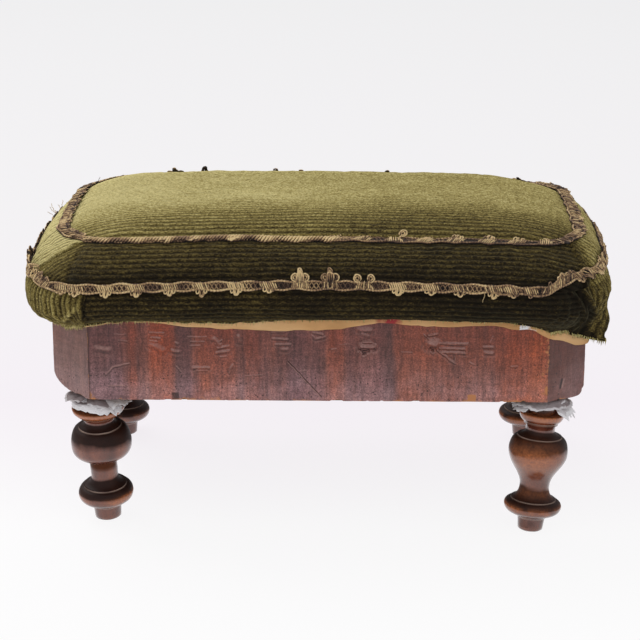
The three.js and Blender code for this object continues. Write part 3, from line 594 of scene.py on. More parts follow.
# Unevenness of the stuffing, seams drawn in by their stitches, and the folds at the corners
lift = 1.1 * wobble(band, 60, 1) + 0.5 * wobble(band, 24, 2) + 0.1 * wobble(band, (60, 12, 12), 4)
lift -= 1.5 * hill(D, 4.5) + 1.5 * hill(D - SEAM_DEPTH, 4.5)
crease = np.where(above, 1.0, 0.9) * smooth_step(down_share, 0, 0.25)
lift += crease * np.where(M < 0, 1.5 * hill(M, 5), -1.9 * np.exp(-M / 3.2) + 1.5 * np.exp(-M / 1.2))
lift -= 0.9 * hill(U - fold, 2.6) * crease * (above & at_front_left)
lift -= 1.3 * hill(M + 9, 2.4) * smooth_step(down_share, 0.3, 0.7) * (above & at_front_right)
gather_window = hill(U - 4, 34) * np.sin(math.pi * limited(down_share)) ** 0.7
gathers = np.sin(TAU * U / 9.5 + 2.6 * wobble(band, 22, 5)) + 0.5 * np.sin(TAU * U / 5.3 + 3 * wobble(band, 14, 6))
gather_depth = np.where(above, 0.15, 1.0) * 0.6 * np.where(at_front_left | at_front_right, 1.0, 0.7)
lift += gather_depth * gather_window * gathers


def stroke(corner, u0, d0, u1, d1, wide):
    """How near each point below the lower seam is to a line at a corner, given by U and depth below the seam."""
    run = np.array([u1 - u0, d1 - d0])
    du, dd = U - u0, D - SEAM_DEPTH - d0
    t = limited((du * run[0] + dd * run[1]) / (run @ run))
    return hill(np.hypot(du - t * run[0], dd - t * run[1]), wide) * corner * below


# Pleats at the front right corner, fanning down from under the lower gimp, and the tuck at the front left one
PLEATS = [(0.35, 15.8, 2, -7, 44), (1.6, 7, 2, -17, 40), (0.45, -5, 3, -25, 40), (0.5, -14, 4, -31, 38)]
pleat_tops = sum(share * stroke(at_front_right, *pleat, 1.9) for share, *pleat in PLEATS)
pleat_hollows = (1 - smooth_step(D, HEM_DEPTH - 11, HEM_DEPTH - 3)) * sum(
    share * stroke(at_front_right, u0 + 4.5, d0, u1 + 5.5, d1, 2.1 + share) for share, u0, d0, u1, d1 in PLEATS
)
tuck = stroke(at_front_left, 31, 14, 17, 26, 1.5)
tuck_hollow = stroke(at_front_left, 30, 19, 15, 32, 2.2) + stroke(at_front_left, 36, 6, 34, 40, 1.2)
lift += 1.9 * pleat_tops - 1.7 * pleat_hollows + 1.0 * tuck - 1.2 * tuck_hollow
rib_lift = RIB_HEIGHT * np.where(D > HEM_DEPTH - 12, 0.6, 1.0) * (2 * rib - 1)


def settled(points):
    """The stuffing has sunk at the back corners, which are also drawn in, and at the front left one."""
    p = np.array(points, float)
    x, y, z = p[..., 0].copy(), p[..., 1], p[..., 2].copy()
    height = limited((z - 164) / 52)
    belt = smooth_step(z, 163, 182) * (1 - 0.75 * smooth_step(z, 200, 217))
    for side, amount in ((-1, 10.0), (1, 6.0)):
        p[..., 0] -= side * amount * smooth_step(side * x, 110, 200) * smooth_step(y, -20, 105) * belt
        p[..., 2] -= 0.5 * amount * smooth_step(side * x, 110, 185) * smooth_step(y, 20, 96) * height
    p[..., 0] += 4.0 * smooth_step(-x, 130, 180) * smooth_step(-y, 50, 90) * smooth_step(z, 196, 214)
    p[..., 0] -= 2.4 * smooth_step(x, 150, 200) * smooth_step(-y, -30, 70) * (1 - smooth_step(z, 190, 206))
    middle = np.where(x < 0, 1 - smooth_step(-x, 105, 165), 1 - 0.5 * smooth_step(x, 150, 185))
    p[..., 2] -= 4.2 * smooth_step(y, -40, 84) * smooth_step(z, 186, 214) * middle
    return p


PIN_LEVEL = 165.0
FRAMES = 20
CLOTH = {
    "quality": 6, "mass": 0.0015, "tension_stiffness": 6, "compression_stiffness": 6, "shear_stiffness": 2,
    "bending_stiffness": 0.02, "vertex_group_mass": "pins", "shrink_min": -0.008, "use_pressure": True,
    "uniform_pressure_force": 4,
}


def puffed(grid, wrap, rows_at, columns_at, pinned, most):
    """How far a cloth simulation with pressure inside moves a grid of points, in mm.

    The simulation runs on every few rows and columns of the grid, and is spread smoothly over all of it."""
    coarse = grid[np.ix_(rows_at, columns_at)]
    mesh = bpy.data.meshes.new("puff")
    cells = grid_faces(*coarse.shape[:2], wrap)
    mesh.from_pydata((coarse.reshape(-1, 3) * MM).tolist(), [], cells if wrap else flipped(cells))
    body = link("puff", mesh)
    pins = body.vertex_groups.new(name="pins")
    pins.add(np.nonzero(pinned[np.ix_(rows_at, columns_at)].ravel())[0].tolist(), 1.0, "REPLACE")
    cloth = body.modifiers.new("cloth", "CLOTH")
    for key, value in CLOTH.items():
        setattr(cloth.settings, key, value)
    cloth.settings.effector_weights.gravity = 0
    cloth.point_cache.frame_start, cloth.point_cache.frame_end = 1, FRAMES
    scene = bpy.context.scene
    for frame_number in range(1, FRAMES + 1):
        scene.frame_set(frame_number)
    moved = body.evaluated_get(bpy.context.evaluated_depsgraph_get()).to_mesh()
    spots = np.empty(coarse.size, np.float32)
    moved.vertices.foreach_get("co", spots)
    scene.frame_set(1)
    bpy.data.objects.remove(body)
    bpy.data.meshes.remove(mesh)
    move = spots.reshape(coarse.shape) / MM - coarse
    size = np.linalg.norm(move, axis=-1, keepdims=True)
    move = move * most * np.tanh(size / most) / np.maximum(size, 1e-6)
    for axis, at, count, around in ((0, rows_at, grid.shape[0], False), (1, columns_at, grid.shape[1], wrap)):
        values = np.moveaxis(move, axis, 0)
        n = len(at)
        u = np.interp(np.arange(count), [*at, count] if around else at, np.arange(n + around))
        low = np.floor(u).astype(int)
        t = (u - low)[:, None, None]
        a, b, c, d = (values[(low + k) % n if around else np.clip(low + k, 0, n - 1)] for k in (-1, 0, 1, 2))
        spread = 2 * b + (c - a) * t + (2 * a - 5 * b + 4 * c - d) * t**2 + (3 * b - a - 3 * c + d) * t**3
        move = np.moveaxis(0.5 * spread, 0, axis)
    return move


band = settled(band)
band_pins = band[..., 2] < PIN_LEVEL
band_pins[[0, SEAM_ROW]] = True
cage_rows = sorted({*np.linspace(0, SEAM_ROW, 9).astype(int), *np.linspace(SEAM_ROW, len(depth) - 1, 11).astype(int)})
cage_columns = [j for j in range(columns) if j % 5 == 0 or (on_long[j] and not is_corner[j])]
band = band + puffed(band, True, cage_rows, cage_columns, band_pins, 1.2)
band_normals = grid_normals(band, True)
smooth_cover = band + band_normals * lift[..., None]
cover = smooth_cover + band_normals * rib_lift[..., None]

# The hem wanders: it rides up in the middle of the front and droops at the front corners
HEM_X = [-196, -178, -165, -150, -110, -60, 0, 40, 90, 130, 145, 160, 178, 192]
HEM_DROP = [4.5, 5.5, 2.0, 0.3, 0.5, 0.3, -3.0, -3.4, -2.0, -1.4, 0.5, 5.0, 11.5, 12.0]
is_front = smooth_step(-band[..., 1], 60, 95)
droop = np.interp(band[..., 0], HEM_X, HEM_DROP) * is_front + 0.8 * wobble(band, 30, 8)
hem_share = smooth_step(D, HEM_DEPTH - 17, HEM_DEPTH)
cover[..., 2] -= hem_share * droop
cover[..., 2] -= 4.0 * hill(U + 2, 30) * at_front_left * smooth_step(D, SEAM_DEPTH + 8, HEM_DEPTH - 10)
# A loose pleat at the front right corner swings out and hangs below the hem
flap_at = -0.38 * arc_length
flap_share = hill(U - flap_at, 9.5) * at_front_right * smooth_step(D, SEAM_DEPTH + 12, HEM_DEPTH)
outward = unit(band * IN_PLAN)
drawn_in = hill(U - flap_at, 16) * at_front_right * hill(D - SEAM_DEPTH - 21, 6)
cover += outward * (15 * flap_share**1.5 - 2.8 * drawn_in)[..., None]
cover[..., 2] -= flap_share * 6.5
cover[..., 2] += 0.8 * wobble(cover, 4, 9) * (D > HEM_DEPTH - 1.2)

# How faded the velvet is, with painted shade and highlights mixed in: dark at the front, pale at the ends, with
# painted shade beside the folds, seams and gimp
is_end = (M < 0).astype(float)
left_end = band[..., 0] < 0
fade_and_shade = np.where(above, 0.112, 0.098) + 0.03 * wobble(band, 50, 12)
fade_and_shade += above * (0.14 * np.exp(-D / 16) - 0.055 * smooth_step(D, 0.5 * SEAM_DEPTH, 0.9 * SEAM_DEPTH))
end_fade_and_shade = np.where(left_end, 1.0, 0.74) - 0.1 * down_share * above - below * np.where(left_end, 0.46, 0.22)
# Painted shade on the end beside the mitre
end_fade_and_shade -= 0.16 * above * np.exp(np.minimum(M, 0) / 14)
soft_mitre = np.where(above & at_front_right, smooth_step(-M, -4, 18), is_end)
fade_and_shade = fade_and_shade * (1 - soft_mitre) + end_fade_and_shade * soft_mitre
in_fold = smooth_step(fold - U, -1, 4) * 0.16 + smooth_step(fold - U, 5, 32) * 0.18
fade_and_shade += in_fold * (above & at_front_left & (M > 0)) + 0.1 * hem_share
low_left_end = below & at_front_left & (M < 0)
# The lower left end is darker, most towards the mitre where shade is painted, and its gathers are painted lighter on
# their ridges and darker in their troughs
fade_and_shade = np.where(low_left_end, fade_and_shade - 0.09 - 0.14 * np.exp(M / 18) + 0.1 * gathers * gather_window, fade_and_shade)
# Below the lower seam at the front right, painted shade in the folds, a painted highlight on the cloth past the fold,
# and paler towards the end
lit_past_fold = smooth_step(8 - 0.63 * (D - SEAM_DEPTH) - U, 0, 3) * (1 - 0.5 * flap_share)
low_right_fade_and_shade = 0.055 + 0.27 * lit_past_fold + 0.3 * smooth_step(-M, 14, 90)
fade_and_shade = np.where(below & at_front_right, np.minimum(fade_and_shade, low_right_fade_and_shade), fade_and_shade)
# Painted highlights on the ridges of the pleats and the tuck, and painted shade in their hollows
fade_and_shade += 0.17 * pleat_tops - 0.09 * pleat_hollows + 0.3 * tuck - 0.14 * tuck_hollow
# The back is paler; a painted shadow lies just under the upper gimp, and painted shade along the drawn-in lower seam
fade_and_shade += 0.12 * ((band[..., 1] > 0) & (M > 0)) - 0.09 * hill(D - 4, 1.6) * (1 - soft_mitre)
fade_and_shade -= 0.12 * hill(D - SEAM_DEPTH, 5) * (1 - 0.5 * is_end)

# Crown: a grid whose rows lie along the ribs
TOP_EDGE_SHARE = 0.985
TOP_COLUMNS = 78
half_length, half_depth, corner_radius = UPPER_SEAM[:3]
straight_x, straight_y = half_length - corner_radius, half_depth - corner_radius
top_rows = round(2 * half_depth / ROW_STEP / 2) * 2
v = np.linspace(-1, 1, top_rows + 1)[:, None]
over = np.maximum(0, np.abs(v) * half_depth - straight_y)
reach = straight_x + np.sqrt(np.maximum(0, corner_radius**2 - over**2))
w = np.linspace(-1, 1, TOP_COLUMNS + 1)[None]
top_x = np.sign(w) * (1 - (1 - np.abs(w)) ** 1.25) * reach
draw_in = SIDE_DRAW_IN * half_depth / LOWER_SEAM[1] * np.cos(limited(top_x / straight_x, -1) * math.pi / 2)
top_y = v * (half_depth - draw_in)
# gauge is how near a point is to the seam: 0 in the middle, 1 on it
ax, ay = np.abs(top_x), np.abs(top_y) * half_depth / (half_depth - draw_in)
quad = straight_x**2 + straight_y**2 - corner_radius**2
dot = straight_x * ax + straight_y * ay
in_corner = (dot - np.sqrt(np.maximum(0, dot * dot - quad * (ax * ax + ay * ay)))) / quad
plain = np.maximum(ax / half_length, ay / half_depth)
gauge = np.where((ax > straight_x * plain) & (ay > straight_y * plain), in_corner, plain)
top_z = CROWN_LEVEL - (CROWN_LEVEL - UPPER_SEAM[4]) * (0.3 * gauge**3 + 0.7 * gauge**8)
top_z = top_z - UPPER_SEAM[5] * (top_x / half_length) ** 2
crown = settled(np.stack([top_x * TOP_EDGE_SHARE, top_y * TOP_EDGE_SHARE, top_z], -1))
crown_pins = np.zeros(crown.shape[:2], bool)
crown_pins[[0, -1]] = crown_pins[:, [0, -1]] = True
crown = crown + puffed(crown, False, range(0, top_rows + 1, 4), range(TOP_COLUMNS + 1), crown_pins, 0.5)
crown_rib = np.broadcast_to(0.5 + 0.5 * np.cos(TAU * (v * half_depth / RIB_PITCH)), top_x.shape)
crown_lift = 1.0 * wobble(crown, 70, 21) + 0.35 * wobble(crown, 28, 22)
crown_lift += RIB_HEIGHT * (2 * crown_rib - 1) - 0.9 * smooth_step(gauge, 0.95, 1.0)
crown_top = crown - grid_normals(crown, False) * crown_lift[..., None]
crown_fade = 0.82 - 0.16 * smooth_step(top_x, -110, 150) - 0.36 * smooth_step(-top_y, 20, 92)
crown_fade += 0.05 * wobble(crown, 50, 23) + 0.08 * smooth_step(-top_x, 60, 180)
crown_fade += 0.07 * np.exp(-(((top_x - 137) / 5) ** 4) - ((top_y + 35) / 15) ** 4)


def zipped(inner, outer, points):
    """Triangles between two loops that both run counter-clockwise, seen from outside."""
    def sort(loop):
        angles = np.arctan2(points[loop][:, 1], points[loop][:, 0])
        order = np.argsort(angles)
        return [loop[i] for i in order], angles[order]

    def after(at, i):
        return at[i + 1] if i + 1 < len(at) else math.inf if i >= len(at) else at[0] + TAU

    (inner, inner_at), (outer, outer_at) = sort(inner), sort(outer)
    triangles, i, j = [], 0, 0
    while i < len(inner) or j < len(outer):
        here, there = inner[i % len(inner)], outer[j % len(outer)]
        if after(inner_at, i) < after(outer_at, j):
            i += 1
            triangles.append((here, there, inner[i % len(inner)]))
        else:
            j += 1
            triangles.append((here, there, outer[j % len(outer)]))
    return triangles


# The turned-in hem and the cushion's flat underside, on the hessian, follow the crown and the band
HEM_INSET = np.array([0.9935, 0.9895, 1])
hem_line = cover[-1]
inner_low, inner_high = band[-1] * HEM_INSET, band[-1] * HEM_INSET
inner_low[:, 2], inner_high[:, 2] = hem_line[:, 2] + 0.2, FLOOR_OF_CUSHION
bottom = [inner_high * np.array([share, share, 1]) for share in (0.96, 0.6, 0.2)]
cushion_points = np.concatenate([crown_top.reshape(-1, 3), cover.reshape(-1, 3), inner_low, inner_high, *bottom])
crown_count, centre = crown_top.size // 3, len(cushion_points)
cushion_points = np.append(cushion_points, [[0, 0, FLOOR_OF_CUSHION]], 0)
faces = flipped(grid_faces(top_rows + 1, TOP_COLUMNS + 1))
faces += zipped(grid_rim(top_rows + 1, TOP_COLUMNS + 1), [crown_count + j for j in range(columns)], cushion_points)
faces += grid_faces(len(depth) + 5, columns, True, crown_count)
faces += [(centre - columns + j, centre, centre - columns + (j + 1) % columns) for j in range(columns)]
filler = np.ones(5 * columns + 1)
cushion = add_piece("velvet_cushion", cushion_points, faces, velvet, ("velvet_cover", "stuffing"), {
    "rib": np.concatenate([crown_rib.ravel(), rib.ravel(), 0.3 * filler]),
    "fade_and_shade": np.concatenate([crown_fade.ravel(), fade_and_shade.ravel(), 0.2 * filler]),
})

# Frayed pile along the hem
fray = Heap()
chance = np.random.default_rng(5)
for j, out in enumerate(unit(band[-1] * IN_PLAN)):
    side = np.cross(out, [0, 0, 1])
    for _ in range(4 if on_long[j] and not is_corner[j] else 1):
        share = chance.random()
        root = hem_line[j] * (1 - share) + hem_line[(j + 1) % columns] * share + out * 0.25
        length = 1.1 + 1.8 * chance.random() ** 1.5 + 2.0 * flap_share[-1, j] * chance.random()
        tip = root + np.array([0, 0, -length]) + side * chance.normal() * 0.6 + out * chance.normal() * 0.4
        wide, rise = 0.4, 0.6 + 1.4 * chance.random()
        points = [
            root + side * wide + [0, 0, rise], root - side * wide + [0, 0, rise],
            root + out * wide * 1.4 + [0, 0, rise * 0.6], tip,
        ]
        fray.add(points, [(0, 1, 3), (1, 2, 3), (2, 0, 3), (0, 2, 1)], 0.62 + 0.4 * chance.random())
fringe = fray.piece("velvet_fray", velvet, "velvet", key="fade_and_shade")
layer = fringe.data.attributes.new("rib", "FLOAT", "POINT")
layer.data.foreach_set("value", np.full(len(fringe.data.vertices), 0.8, np.float32))

# ---------------------------------------------------------------- gimp
def seam_path(rows_at, step=0.75):
    """A closed path on the cover at a row number for each column: points, outward and downward directions."""
    low = np.clip(np.floor(rows_at).astype(int), 0, len(depth) - 2)
    t = (rows_at - low)[:, None]
    js = np.arange(columns)
    line = smooth_cover[low, js] * (1 - t) + smooth_cover[low + 1, js] * t
    down = unit(smooth_cover[np.minimum(low + 4, len(depth) - 1), js] - smooth_cover[np.maximum(low - 4, 0), js])
    along = distances(np.concatenate([line, line[:1]]))
    count = int(along[-1] / step)
    spots = np.arange(count) * along[-1] / count
    points, down = (
        np.stack([np.interp(spots, along, np.append(values, values[0])) for values in field.T], 1)
        for field in (line, down)
    )
    ahead = unit(np.roll(points, -1, 0) - np.roll(points, 1, 0))
    out = unit(np.cross(down, ahead))
    return points, out, unit(np.cross(ahead, out)), spots, along[-1]


def shaded_cord_tones(tones, sides):
    """The tone of each point of a cord, with painted shade in the hollows round its sides and back, and its outer
    face painted lighter as a highlight.
    """
    hollow_shade = 0.5 * np.sin(np.arange(sides) / sides * TAU) - 0.2
    return np.repeat(tones, sides) + np.tile(hollow_shade, len(tones))


# A knot's hanging loops: place along the braid, half width and share of the reach
BUNCH, SMALL_BUNCH = ((0.9, 2.1, 1.0), (0.9, 1.1, 0.88), (-2.1, 1.3, 0.5), (3.3, 1.2, 0.36)), ((0.9, 1.5, 0.93),)
VERY_TALL = 5


def cluster_cords(edge, reach, lean, tall, chance):
    """The cords of one cluster, as distances along the braid and out from its middle, heights and a radius.

    A short one is a knot of slanting cords laid over the braid with loops hanging from it; a tall one has a
    fan of short cords, a scroll at either side and, if it is very tall, a loop between them."""
    cords = []
    turn = np.linspace(0, math.pi, 9)
    if not tall:
        t = np.linspace(-1, 1, 6)
        for k in range(8):
            place = (k - 3.5) / 4.4
            b = edge * math.sqrt(1 - place**2) * t
            a = 1.5 * (k - 3.5) + (0.45 + 0.5 * lean) * b
            cords.append((a, b, 1.35 + 0.9 * (1 - t**2) * (1 - place**2) + 0.3 * chance.random(), 0.46))
        for middle, girth, share in BUNCH if reach > 1.6 else SMALL_BUNCH:
            tip = edge + reach * share * (0.9 + 0.2 * chance.random())
            b = edge * 0.2 + (tip - edge * 0.2) * np.sin(turn) ** 0.6
            a = middle - girth * np.cos(turn) * (0.8 + 0.3 * np.sin(turn)) + lean * b
            cords.append((a, b, 1.9 + 0.5 * np.sin(turn), 0.5))
        return cords
    very_tall = reach > VERY_TALL
    middle = edge + reach * (0.45 if very_tall else 0.15)
    t = np.linspace(0, 1, 7)
    for k in range(9):
        place = (k - 4) / 4.6
        b = -edge * 0.9 + (middle + edge * 0.9) * math.sqrt(1 - place**2) * t
        a = 1.5 * (k - 4) * (1 - 0.12 * t) + 0.3 * np.sin(3 * t + k)
        cords.append((a, b, 1.5 + 0.8 * np.sin(math.pi * t) + 0.3 * chance.random(), 0.46))
    bend = np.linspace(-0.7 * math.pi, 1.25 * math.pi, 16)
    stem = np.linspace(0, 1, 4, endpoint=False)
    for side in (-1, 1):
        for size in (2.5, 1.2):
            a = side * ((3.7 if very_tall else 4.6) + size * np.cos(bend))
            b = edge + (reach * 0.26 if very_tall else reach - 2.6) + size * np.sin(bend)
            a = np.concatenate([side * 2.6 + (a[0] - side * 2.6) * stem, a])
            b = np.concatenate([b[0] * stem - 0.7 * edge * (1 - stem), b])
            cords.append((a + lean * (b + edge), b, np.full(len(a), 2.3), 0.54))
    for girth, share in ((1.9, 1.0), (0.9, 0.82), (2.8, 0.66)) if very_tall else ():
        b = edge * 0.4 + (edge * 0.6 + reach * share) * np.sin(turn) ** 0.55
        a = lean * b - girth * np.cos(turn) * (0.75 + 0.3 * np.sin(turn)) + 0.3 * np.sin(3 * turn)
        cords.append((a, b, 2.6 + 0.5 * np.sin(turn), 0.56))
    return cords


CLUSTER_PITCH, ZIGZAG_PITCH, ROPE_PITCH = 22.0, 6.2, 7.0
ROPE_LUMPS = (-149, -128, -107, -86, -58.5, -38, -16, 8)


def make_gimp(name, node, rows_at, width, clusters, strays, twisted, wide_at, seed):
    """A braid: a tape, two edge cords, two zigzag cords, and clusters of loops laid across it.

    clusters lists where each cluster is in plan, how far its loops reach beyond the braid, which way they lie
    (1 hangs), how far they lean along the braid and their tone. strays lists loose threads: place, direction,
    length and tone. twisted tells how much the braid is rolled into a rope at each point, and wide_at how much
    wider than usual it lies."""
    points, out, down, spots, total = seam_path(rows_at)
    chance = np.random.default_rng(seed)
    heap = Heap()
    half, count = width / 2, len(points)
    roll, broad = twisted(points), wide_at(points)
    wander = 0.35 * wobble(points, 30, seed)

    def at(offset, height):
        across = offset * broad * (1 - 0.34 * roll) + wander
        raised = 0.9 + height + 0.6 * roll - abs(offset) * 0.25 * roll
        return points + down * across[:, None] + out * raised[:, None]

    def lay(line, normals, tones, radius, sides, *twist):
        made, quads = tube(line, normals, radius, sides, *twist)
        heap.add(made, quads, shaded_cord_tones(tones, sides))

    def nearest_to(x, y):
        return int(np.argmin(np.hypot(points[:, 0] - x, points[:, 1] - y)))

    section = [(-half * 0.86, 0.0), (-half * 0.5, 0.45), (half * 0.5, 0.45), (half * 0.86, 0.0), (0, -0.9)]
    tape = np.stack([at(offset, height) for offset, height in section], 1)
    sides = len(section)
    quads = np.mod(grid_faces(count + 1, sides, True), count * sides)
    heap.add(tape, quads.tolist(), 0.13)
    pitch = total / round(total / CLUSTER_PITCH)
    # The upper gimp's right half is dirtier
    grimy = 0.24 * smooth_step(points[:, 0], 0, 60) * smooth_step(-points[:, 1], 60, 90) * (node == "upper_gimp")
    for side in (-1, 1):
        scallop = 0.6 * np.cos(TAU * spots / pitch) * side + 0.3 * wobble(points, 7, seed + 8)
        line = at(side * (half - 0.75), 0.5 - 0.5 * roll) + down * scallop[:, None]
        tones = 0.54 + 0.24 * wobble(points, 6, seed + 3) + 0.18 * np.sin(TAU * spots / 2.1) - grimy
        lay(line, out, tones, 0.82, 6, True, 0.26, 2.4)
    for shift in (0, 0.5):
        swing = np.sin(TAU * (spots / ZIGZAG_PITCH + shift) + 0.8 * wobble(points, 9, seed + 4))
        line = at(0, 0.6) + down * (swing * broad * (half - 1.2) * (1 - 0.4 * roll))[:, None]
        line = line + out * (0.35 * np.cos(TAU * (spots / ZIGZAG_PITCH + shift)) - 0.4 * roll)[:, None]
        lay(line, out, 0.4 + 0.3 * wobble(points, 8, seed + 5) - 0.8 * grimy, 0.47, 4, True)
    if roll.max() > 0.5:
        rolled = roll > 0.02
        first = int(np.argmax(rolled & ~np.roll(rolled, 1)))
        part = (first + np.arange(rolled.sum())) % count
        grow = roll**0.5
        lump = sum(hill(points[:, 0] - x, 5) for x in ROPE_LUMPS)
        for shift in range(3):
            turn = TAU * (spots / ROPE_PITCH + shift / 3) + 0.5 * wobble(points, 20, seed + 6)
            across = wander + 2.2 * np.cos(turn) * grow * (0.88 + 0.5 * lump) + 1.2 * lump
            height = 1.5 + 1.4 * np.sin(turn) * grow * (1 + 0.2 * lump) - 1.2 * (1 - grow)
            line = points + down * across[:, None] + out * height[:, None]
            # Strands are painted lighter where they ride on top and darker where they pass under, as painted light
            # and shade; the lumps are lighter
            tones = 0.28 + 0.25 * wobble(points, (16, 9, 9), seed + 7) + 0.26 * np.sin(turn) + 0.42 * lump
            lay(line[part], out[part], tones[part], 0.9, 7, False, 0.2, 1.7)
    places = [(nearest_to(x, y), *rest) for x, y, *rest in clusters]
    # Between them, round the back and the ends, smaller clusters; close together at the ends
    taken = [spots[place[0]] for place in places]
    longest, deepest = np.abs(points[:, :2]).max(0)
    for at_spot in np.arange(0, total, 2.0):
        i = int(at_spot / total * count) % count
        at_end = abs(points[i, 0]) > 0.87 * longest
        gap = min(min(abs(at_spot - spot), total - abs(at_spot - spot)) for spot in taken)
        if gap > (7 if at_end else 13) and points[i, 1] > -0.9 * deepest:
            small_reach, small_lean = 1.5 + 1.4 * chance.random(), 0.3 * chance.normal()
            tone = (0.34 if at_end else 0.46) + 0.1 * chance.normal()
            places.append((i, small_reach, -1 if points[i, 0] < 0 else 1, small_lean, tone))
            taken.append(at_spot)
    for middle, reach, way, lean, tone in places:
        edge = half * broad[middle]
        tall = way < 0 and reach > 3.8
        for a, b, height, radius in cluster_cords(edge, reach, lean, tall, chance):
            steps = np.round(a / total * count)
            i = (middle + steps.astype(int)) % count
            ahead = unit(points[(i + 1) % count] - points[i - 1])
            height = height + np.maximum(b - edge, 0) * (0.45 if tall else -0.08) + 0.8 * roll[i]
            line = points[i] + ahead * (a - steps * total / count)[:, None]
            line = line + down[i] * (way * b + wander[i])[:, None] + out[i] * height[:, None]
            # Each cord is painted darker towards its ends, where it tucks under, as painted shade, and lighter in its
            # middle as a painted highlight
            tones = tone - 0.4 + 0.2 * chance.normal() + 0.6 * np.sin(np.linspace(0, math.pi, len(a))) ** 0.5
            tones = tones + 0.16 * np.sin(TAU * distances(np.stack([a, b], 1)) / 2.6 + 6 * chance.random())
            lay(line, out[i], tones, radius, 6, False, 0.25, 1.5)
    for x, y, way, length, tone in strays:
        i = nearest_to(x, y)
        curl = np.cumsum(chance.normal(size=(16, 3)), 0) * 0.14 * length / 4
        line = points[i] + out[i] * 1.5 + np.array(way) * (length * np.linspace(0, 1, 16))[:, None] + curl
        made, quads = tube(line, np.broadcast_to(out[i], line.shape), 0.2, 4)
        heap.add(made, quads, tone)
    return heap.piece(name, gimp, "gimp", (node,))


LOWER_FRONT, UPPER_FRONT, UPPER_BACK = -132, -96, 96
LOWER_STRAYS = [(117, LOWER_FRONT, (-0.6, -0.3, -1.0), 7, 1.1), (121, LOWER_FRONT, (0.3, -0.4, -1.0), 5, 0.9)] + [
    (-200, 50 + 2 * k, (-0.9 + 0.2 * k, 0.3, 0.5 + 0.2 * (k % 3)), 8 + 1.5 * (k % 3), 0.75 + 0.06 * k)
    for k in range(6)
]
UPPER_STRAYS = [(-167, 76, (0.3, 0, 1.0), 5, 0.3), (-162, 80, (0.7, 0, 0.6), 4, 0.3)]
LOWER_CLUSTERS = [(x, LOWER_FRONT, *rest) for x, *rest in (
    (-180, 2.0, 1, 0.1, 0.5), (-168, 2.4, 1, -0.1, 0.55), (-146, 3.2, 1, -0.15, 0.6), (-125, 3.6, 1, -0.1, 0.55),
    (-102, 3.0, 1, -0.2, 0.6), (-80.5, 4.2, 1, -0.1, 0.55), (-56.5, 3.2, 1, -0.1, 0.7), (-34, 2.0, 1, -0.1, 0.75),
    (-12, 8.0, -1, 0.0, 0.5), (9, 8.4, -1, -0.03, 0.46), (32, 4.4, -1, 0.0, 0.55), (55, 2.8, 1, -0.1, 0.7),
    (77.5, 2.0, 1, -0.1, 0.65), (98, 3.0, 1, -0.1, 0.55), (121, 3.4, 1, -0.1, 0.55), (134, 1.8, 1, 0.0, 0.5),
    (146, 1.6, 1, -0.1, 0.45), (160, 1.4, -1, 0.5, 0.5), (173, 2.4, -1, 0.5, 0.5), (184, 1.8, -1, 0.5, 0.4),
)] + [
    (-208, -98, 5.6, -1, 0.0, 0.56), (-208, -86, 7.0, -1, 0.2, 0.6), (-208, -74, 6.6, -1, -0.2, 0.56),
    (-208, -62, 6.0, -1, 0.1, 0.55), (205, -92, 3.4, -1, 0.2, 0.5), (207, -78, 7.0, -1, -0.1, 0.62),
    (207, -66, 5.4, -1, 0.1, 0.55),
]
UPPER_CLUSTERS = [(x, UPPER_FRONT, *rest) for x, *rest in (
    (-165, 0.6, 1, -0.6, 0.4), (-86, 3.6, 1, -0.7, 0.75), (-58.5, 2.8, 1, -0.5, 0.9), (-107, 1.4, 1, -0.8, 0.55),
    (31, 2.2, -1, 0.3, 0.62), (53, 4.4, -1, 0.2, 0.6), (74.5, 3.4, -1, 0.3, 0.7), (96, 3.7, -1, 0.2, 0.7),
    (118, 3.7, -1, 0.2, 0.7), (139, 3.4, -1, 0.2, 0.7), (160, 3.0, -1, 0.2, 0.74), (10, 1.7, -1, 0.5, 0.6),
)] + [(x, UPPER_BACK, reach, -1, lean, 0.4) for x, reach, lean in (
    (-113, 12.0, 0.1), (-92, 12.6, -0.1), (-35, 10.6, 0.1), (-18, 9.6, -0.1), (50, 7.8, 0.1), (154, 9.0, 0.1),
)]

# The lower gimp climbs at the right end and at the left one
seam_x, seam_y, _ = band[SEAM_ROW].T
climb = 10.5 * smooth_step(seam_x, 152, 182) * smooth_step(-seam_y, -60, 5) + 3.2 * smooth_step(-seam_x, 188, 200)
make_gimp(
    "lower_gimp_braid", "lower_gimp", SEAM_ROW - climb / ROW_STEP, 6.6, LOWER_CLUSTERS, LOWER_STRAYS,
    lambda q: 0 * q[:, 0], lambda q: 1 + 0 * q[:, 0], 31,
)
make_gimp(
    "upper_gimp_braid", "upper_gimp", np.full(columns, 0.6), 6.4, UPPER_CLUSTERS, UPPER_STRAYS,
    lambda q: smooth_step(-q[:, 0], -30, 0) * smooth_step(-q[:, 1], 78, 92),
    lambda q: 1 + 0.3 * smooth_step(np.abs(q[:, 0]), 160, 178)
    + 0.22 * smooth_step(q[:, 0], 0, 40) * smooth_step(-q[:, 1], 60, 90), 47,
)

